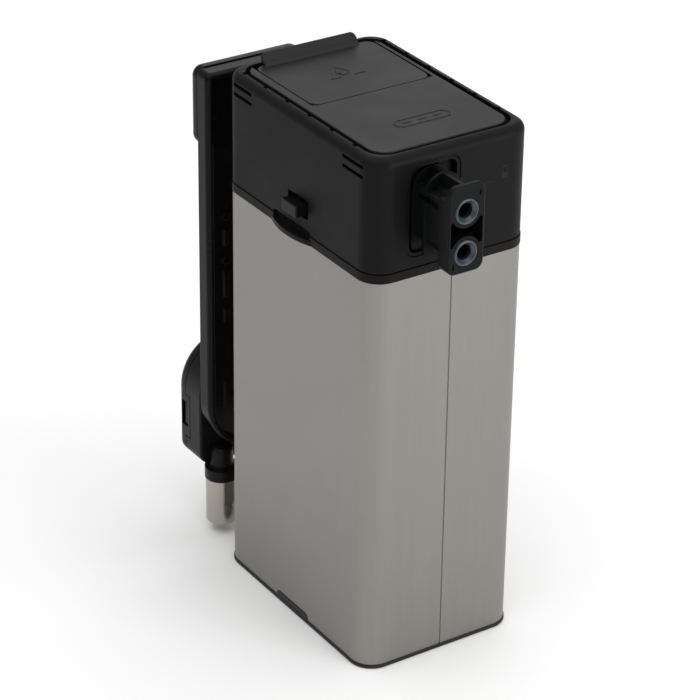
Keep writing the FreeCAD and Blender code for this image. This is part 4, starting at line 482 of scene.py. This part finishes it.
# ---------------------------------------------------------------- milk hose
# A 4.4 mm silicone hose, milky white, from the frothing chamber down inside the strap,
# and a short one from the swivel to the spout.
HOSE_SILICONE = moulding("HoseSilicone", (0.62, 0.62, 0.58), 0.45, pits=500.0, relief=0.05,
                         shine=0.45, wear=0.0)
for node in ("milk_hose", "spout_tube"):
    coat(node, HOSE_SILICONE)

# ---------------------------------------------------------------- froth dial
# A round glossy knob on the strap's fascia sets how much froth the milk gets.  A row of
# marks round it grows from thin to dense, and a pale line on the grip points at them.
coat("froth_dial", BUTTON_PLASTIC)
coat("dial_clip", SCREW_STEEL)
MARK_WHITE = moulding("MarkWhite", (0.55, 0.55, 0.54), 0.5, pits=900.0, relief=0.05, shine=0.4, wear=0.0)
dial_low, dial_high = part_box("froth_dial")
fascia_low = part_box("strap_fascia")[0]
dial_x, dial_z = (dial_low.x + dial_high.x) / 2, (dial_low.z + dial_high.z) / 2
# marks from the top of the dial clockwise, each a little longer than the one before
mark_count, mark_angle, mark_radius, shortest_mark, mark_growth = 9, 15, 14.3, 0.6, 0.22
ticks = []
for number in range(mark_count):
    angle = math.radians(90 - mark_angle * number)
    mark_end = mark_radius + shortest_mark + mark_growth * number
    ticks.append([(radius * math.cos(angle), radius * math.sin(angle)) for radius in (mark_radius, mark_end)])
raised_lines("dial_marks", ticks, width=0.0006, height=0.00008,
             centre=(dial_x, fascia_low.y, dial_z), across=(1, 0, 0), up=(0, 0, 1),
             material=MARK_WHITE, body="lid")
raised_lines("dial_pointer", [[(0, 4.5), (0, 9.2)]], width=0.0008, height=0.0001,
             centre=(dial_x, dial_low.y, dial_z), across=(1, 0, 0), up=(0, 0, 1),
             material=MARK_WHITE, body="dial")

# ---------------------------------------------------------------- swivelling spout
# The spout hangs from a barrel at the foot of the strap.  Its housing is two black halves
# that clip together at the sides; a column in it carries the polished steel tip, which
# pulls off for cleaning.
HOUSING_PLASTIC = moulding("HousingPlastic", (0.005, 0.005, 0.0052), 0.36, shine=0.13, relief=0.12,
                           edge=0.0005)
for node in ("spout_housing_rear", "spout_housing_front", "spout_clips", "spout_column", "spout_pivot"):
    coat(node, HOUSING_PLASTIC)
coat("tip_seal", moulding("SealBlack", (0.012, 0.012, 0.012), 0.6, pits=700.0, relief=0.1,
                          shine=0.2, wear=0.0))
coat("spout_tip", steel("TipChrome", dark=(0.34, 0.315, 0.28), light=(0.47, 0.44, 0.395),
                        roughness=0.18, lines=260.0, stretch=12.0, relief=0.05, anisotropic=0.0))

# ---------------------------------------------------------------- floor, light and camera
# A pale matt floor, soft boxes overhead, behind and beside the plug, and a long lens that
# looks down on the corner between the plug side and the button side.
floor_material = bpy.data.materials.new("PaleFloor")
floor_material.use_nodes = True
floor_shader = floor_material.node_tree.nodes["Principled BSDF"]
floor_shader.inputs["Base Color"].default_value = (0.92, 0.92, 0.92, 1)
floor_shader.inputs["Roughness"].default_value = 0.9
floor_shader.inputs["Specular IOR Level"].default_value = 0.1
floor_mesh = bpy.data.meshes.new("studio_floor")
floor_half = 6.0
floor_corners = [(-floor_half, -floor_half, 0), (floor_half, -floor_half, 0),
                 (floor_half, floor_half, 0), (-floor_half, floor_half, 0)]
floor_mesh.from_pydata(floor_corners, [], [(0, 1, 2, 3)])
floor_mesh.materials.append(floor_material)
floor = bpy.data.objects.new("studio_floor", floor_mesh)
bpy.context.scene.collection.objects.link(floor)

world = bpy.data.worlds.new("Studio")
bpy.context.scene.world = world
world.use_nodes = True
world.node_tree.nodes["Background"].inputs["Color"].default_value = (1, 1, 1, 1)
world.node_tree.nodes["Background"].inputs["Strength"].default_value = 0.55

aim = Vector((0, 0, 0.12))
# name, place, size across, power
for name, place_at, size, power in (("overhead_box", (0.1, 0.1, 2.2), 3.4, 44),
                                    ("back_box", (-1.3, -1.7, 1.1), 1.5, 5),
                                    ("plug_side_box", (-0.7, 1.6, 0.5), 1.0, 15)):
    lamp = bpy.data.lights.new(name, "AREA")
    lamp.shape = "SQUARE"
    lamp.size = size
    lamp.energy = power
    soft_box = bpy.data.objects.new(name, lamp)
    bpy.context.scene.collection.objects.link(soft_box)
    soft_box.location = place_at
    soft_box.rotation_mode = "QUATERNION"
    soft_box.rotation_quaternion = (aim - Vector(place_at)).to_track_quat("-Z", "Y")

lens = bpy.data.cameras.new("Camera")
lens.sensor_width = 36
lens.lens = 153.24
lens.clip_end = 20
camera = bpy.data.objects.new("Camera", lens)
bpy.context.scene.collection.objects.link(camera)
camera_place = (0.64587, 0.95743, 0.74669)
azimuth, elevation, roll = math.radians(146.461), math.radians(28.362), math.radians(0.872)
back = Vector((math.sin(azimuth) * math.cos(elevation), -math.cos(azimuth) * math.cos(elevation),
               math.sin(elevation)))
level_right = Vector((math.cos(azimuth), math.sin(azimuth), 0))
level_up = back.cross(level_right)
right = level_right * math.cos(roll) + level_up * math.sin(roll)
up = level_up * math.cos(roll) - level_right * math.sin(roll)
camera.matrix_world = Matrix.Translation(camera_place) @ Matrix((right, up, back)).transposed().to_4x4()
bpy.context.scene.camera = camera
bpy.context.scene.view_settings.view_transform = "Standard"
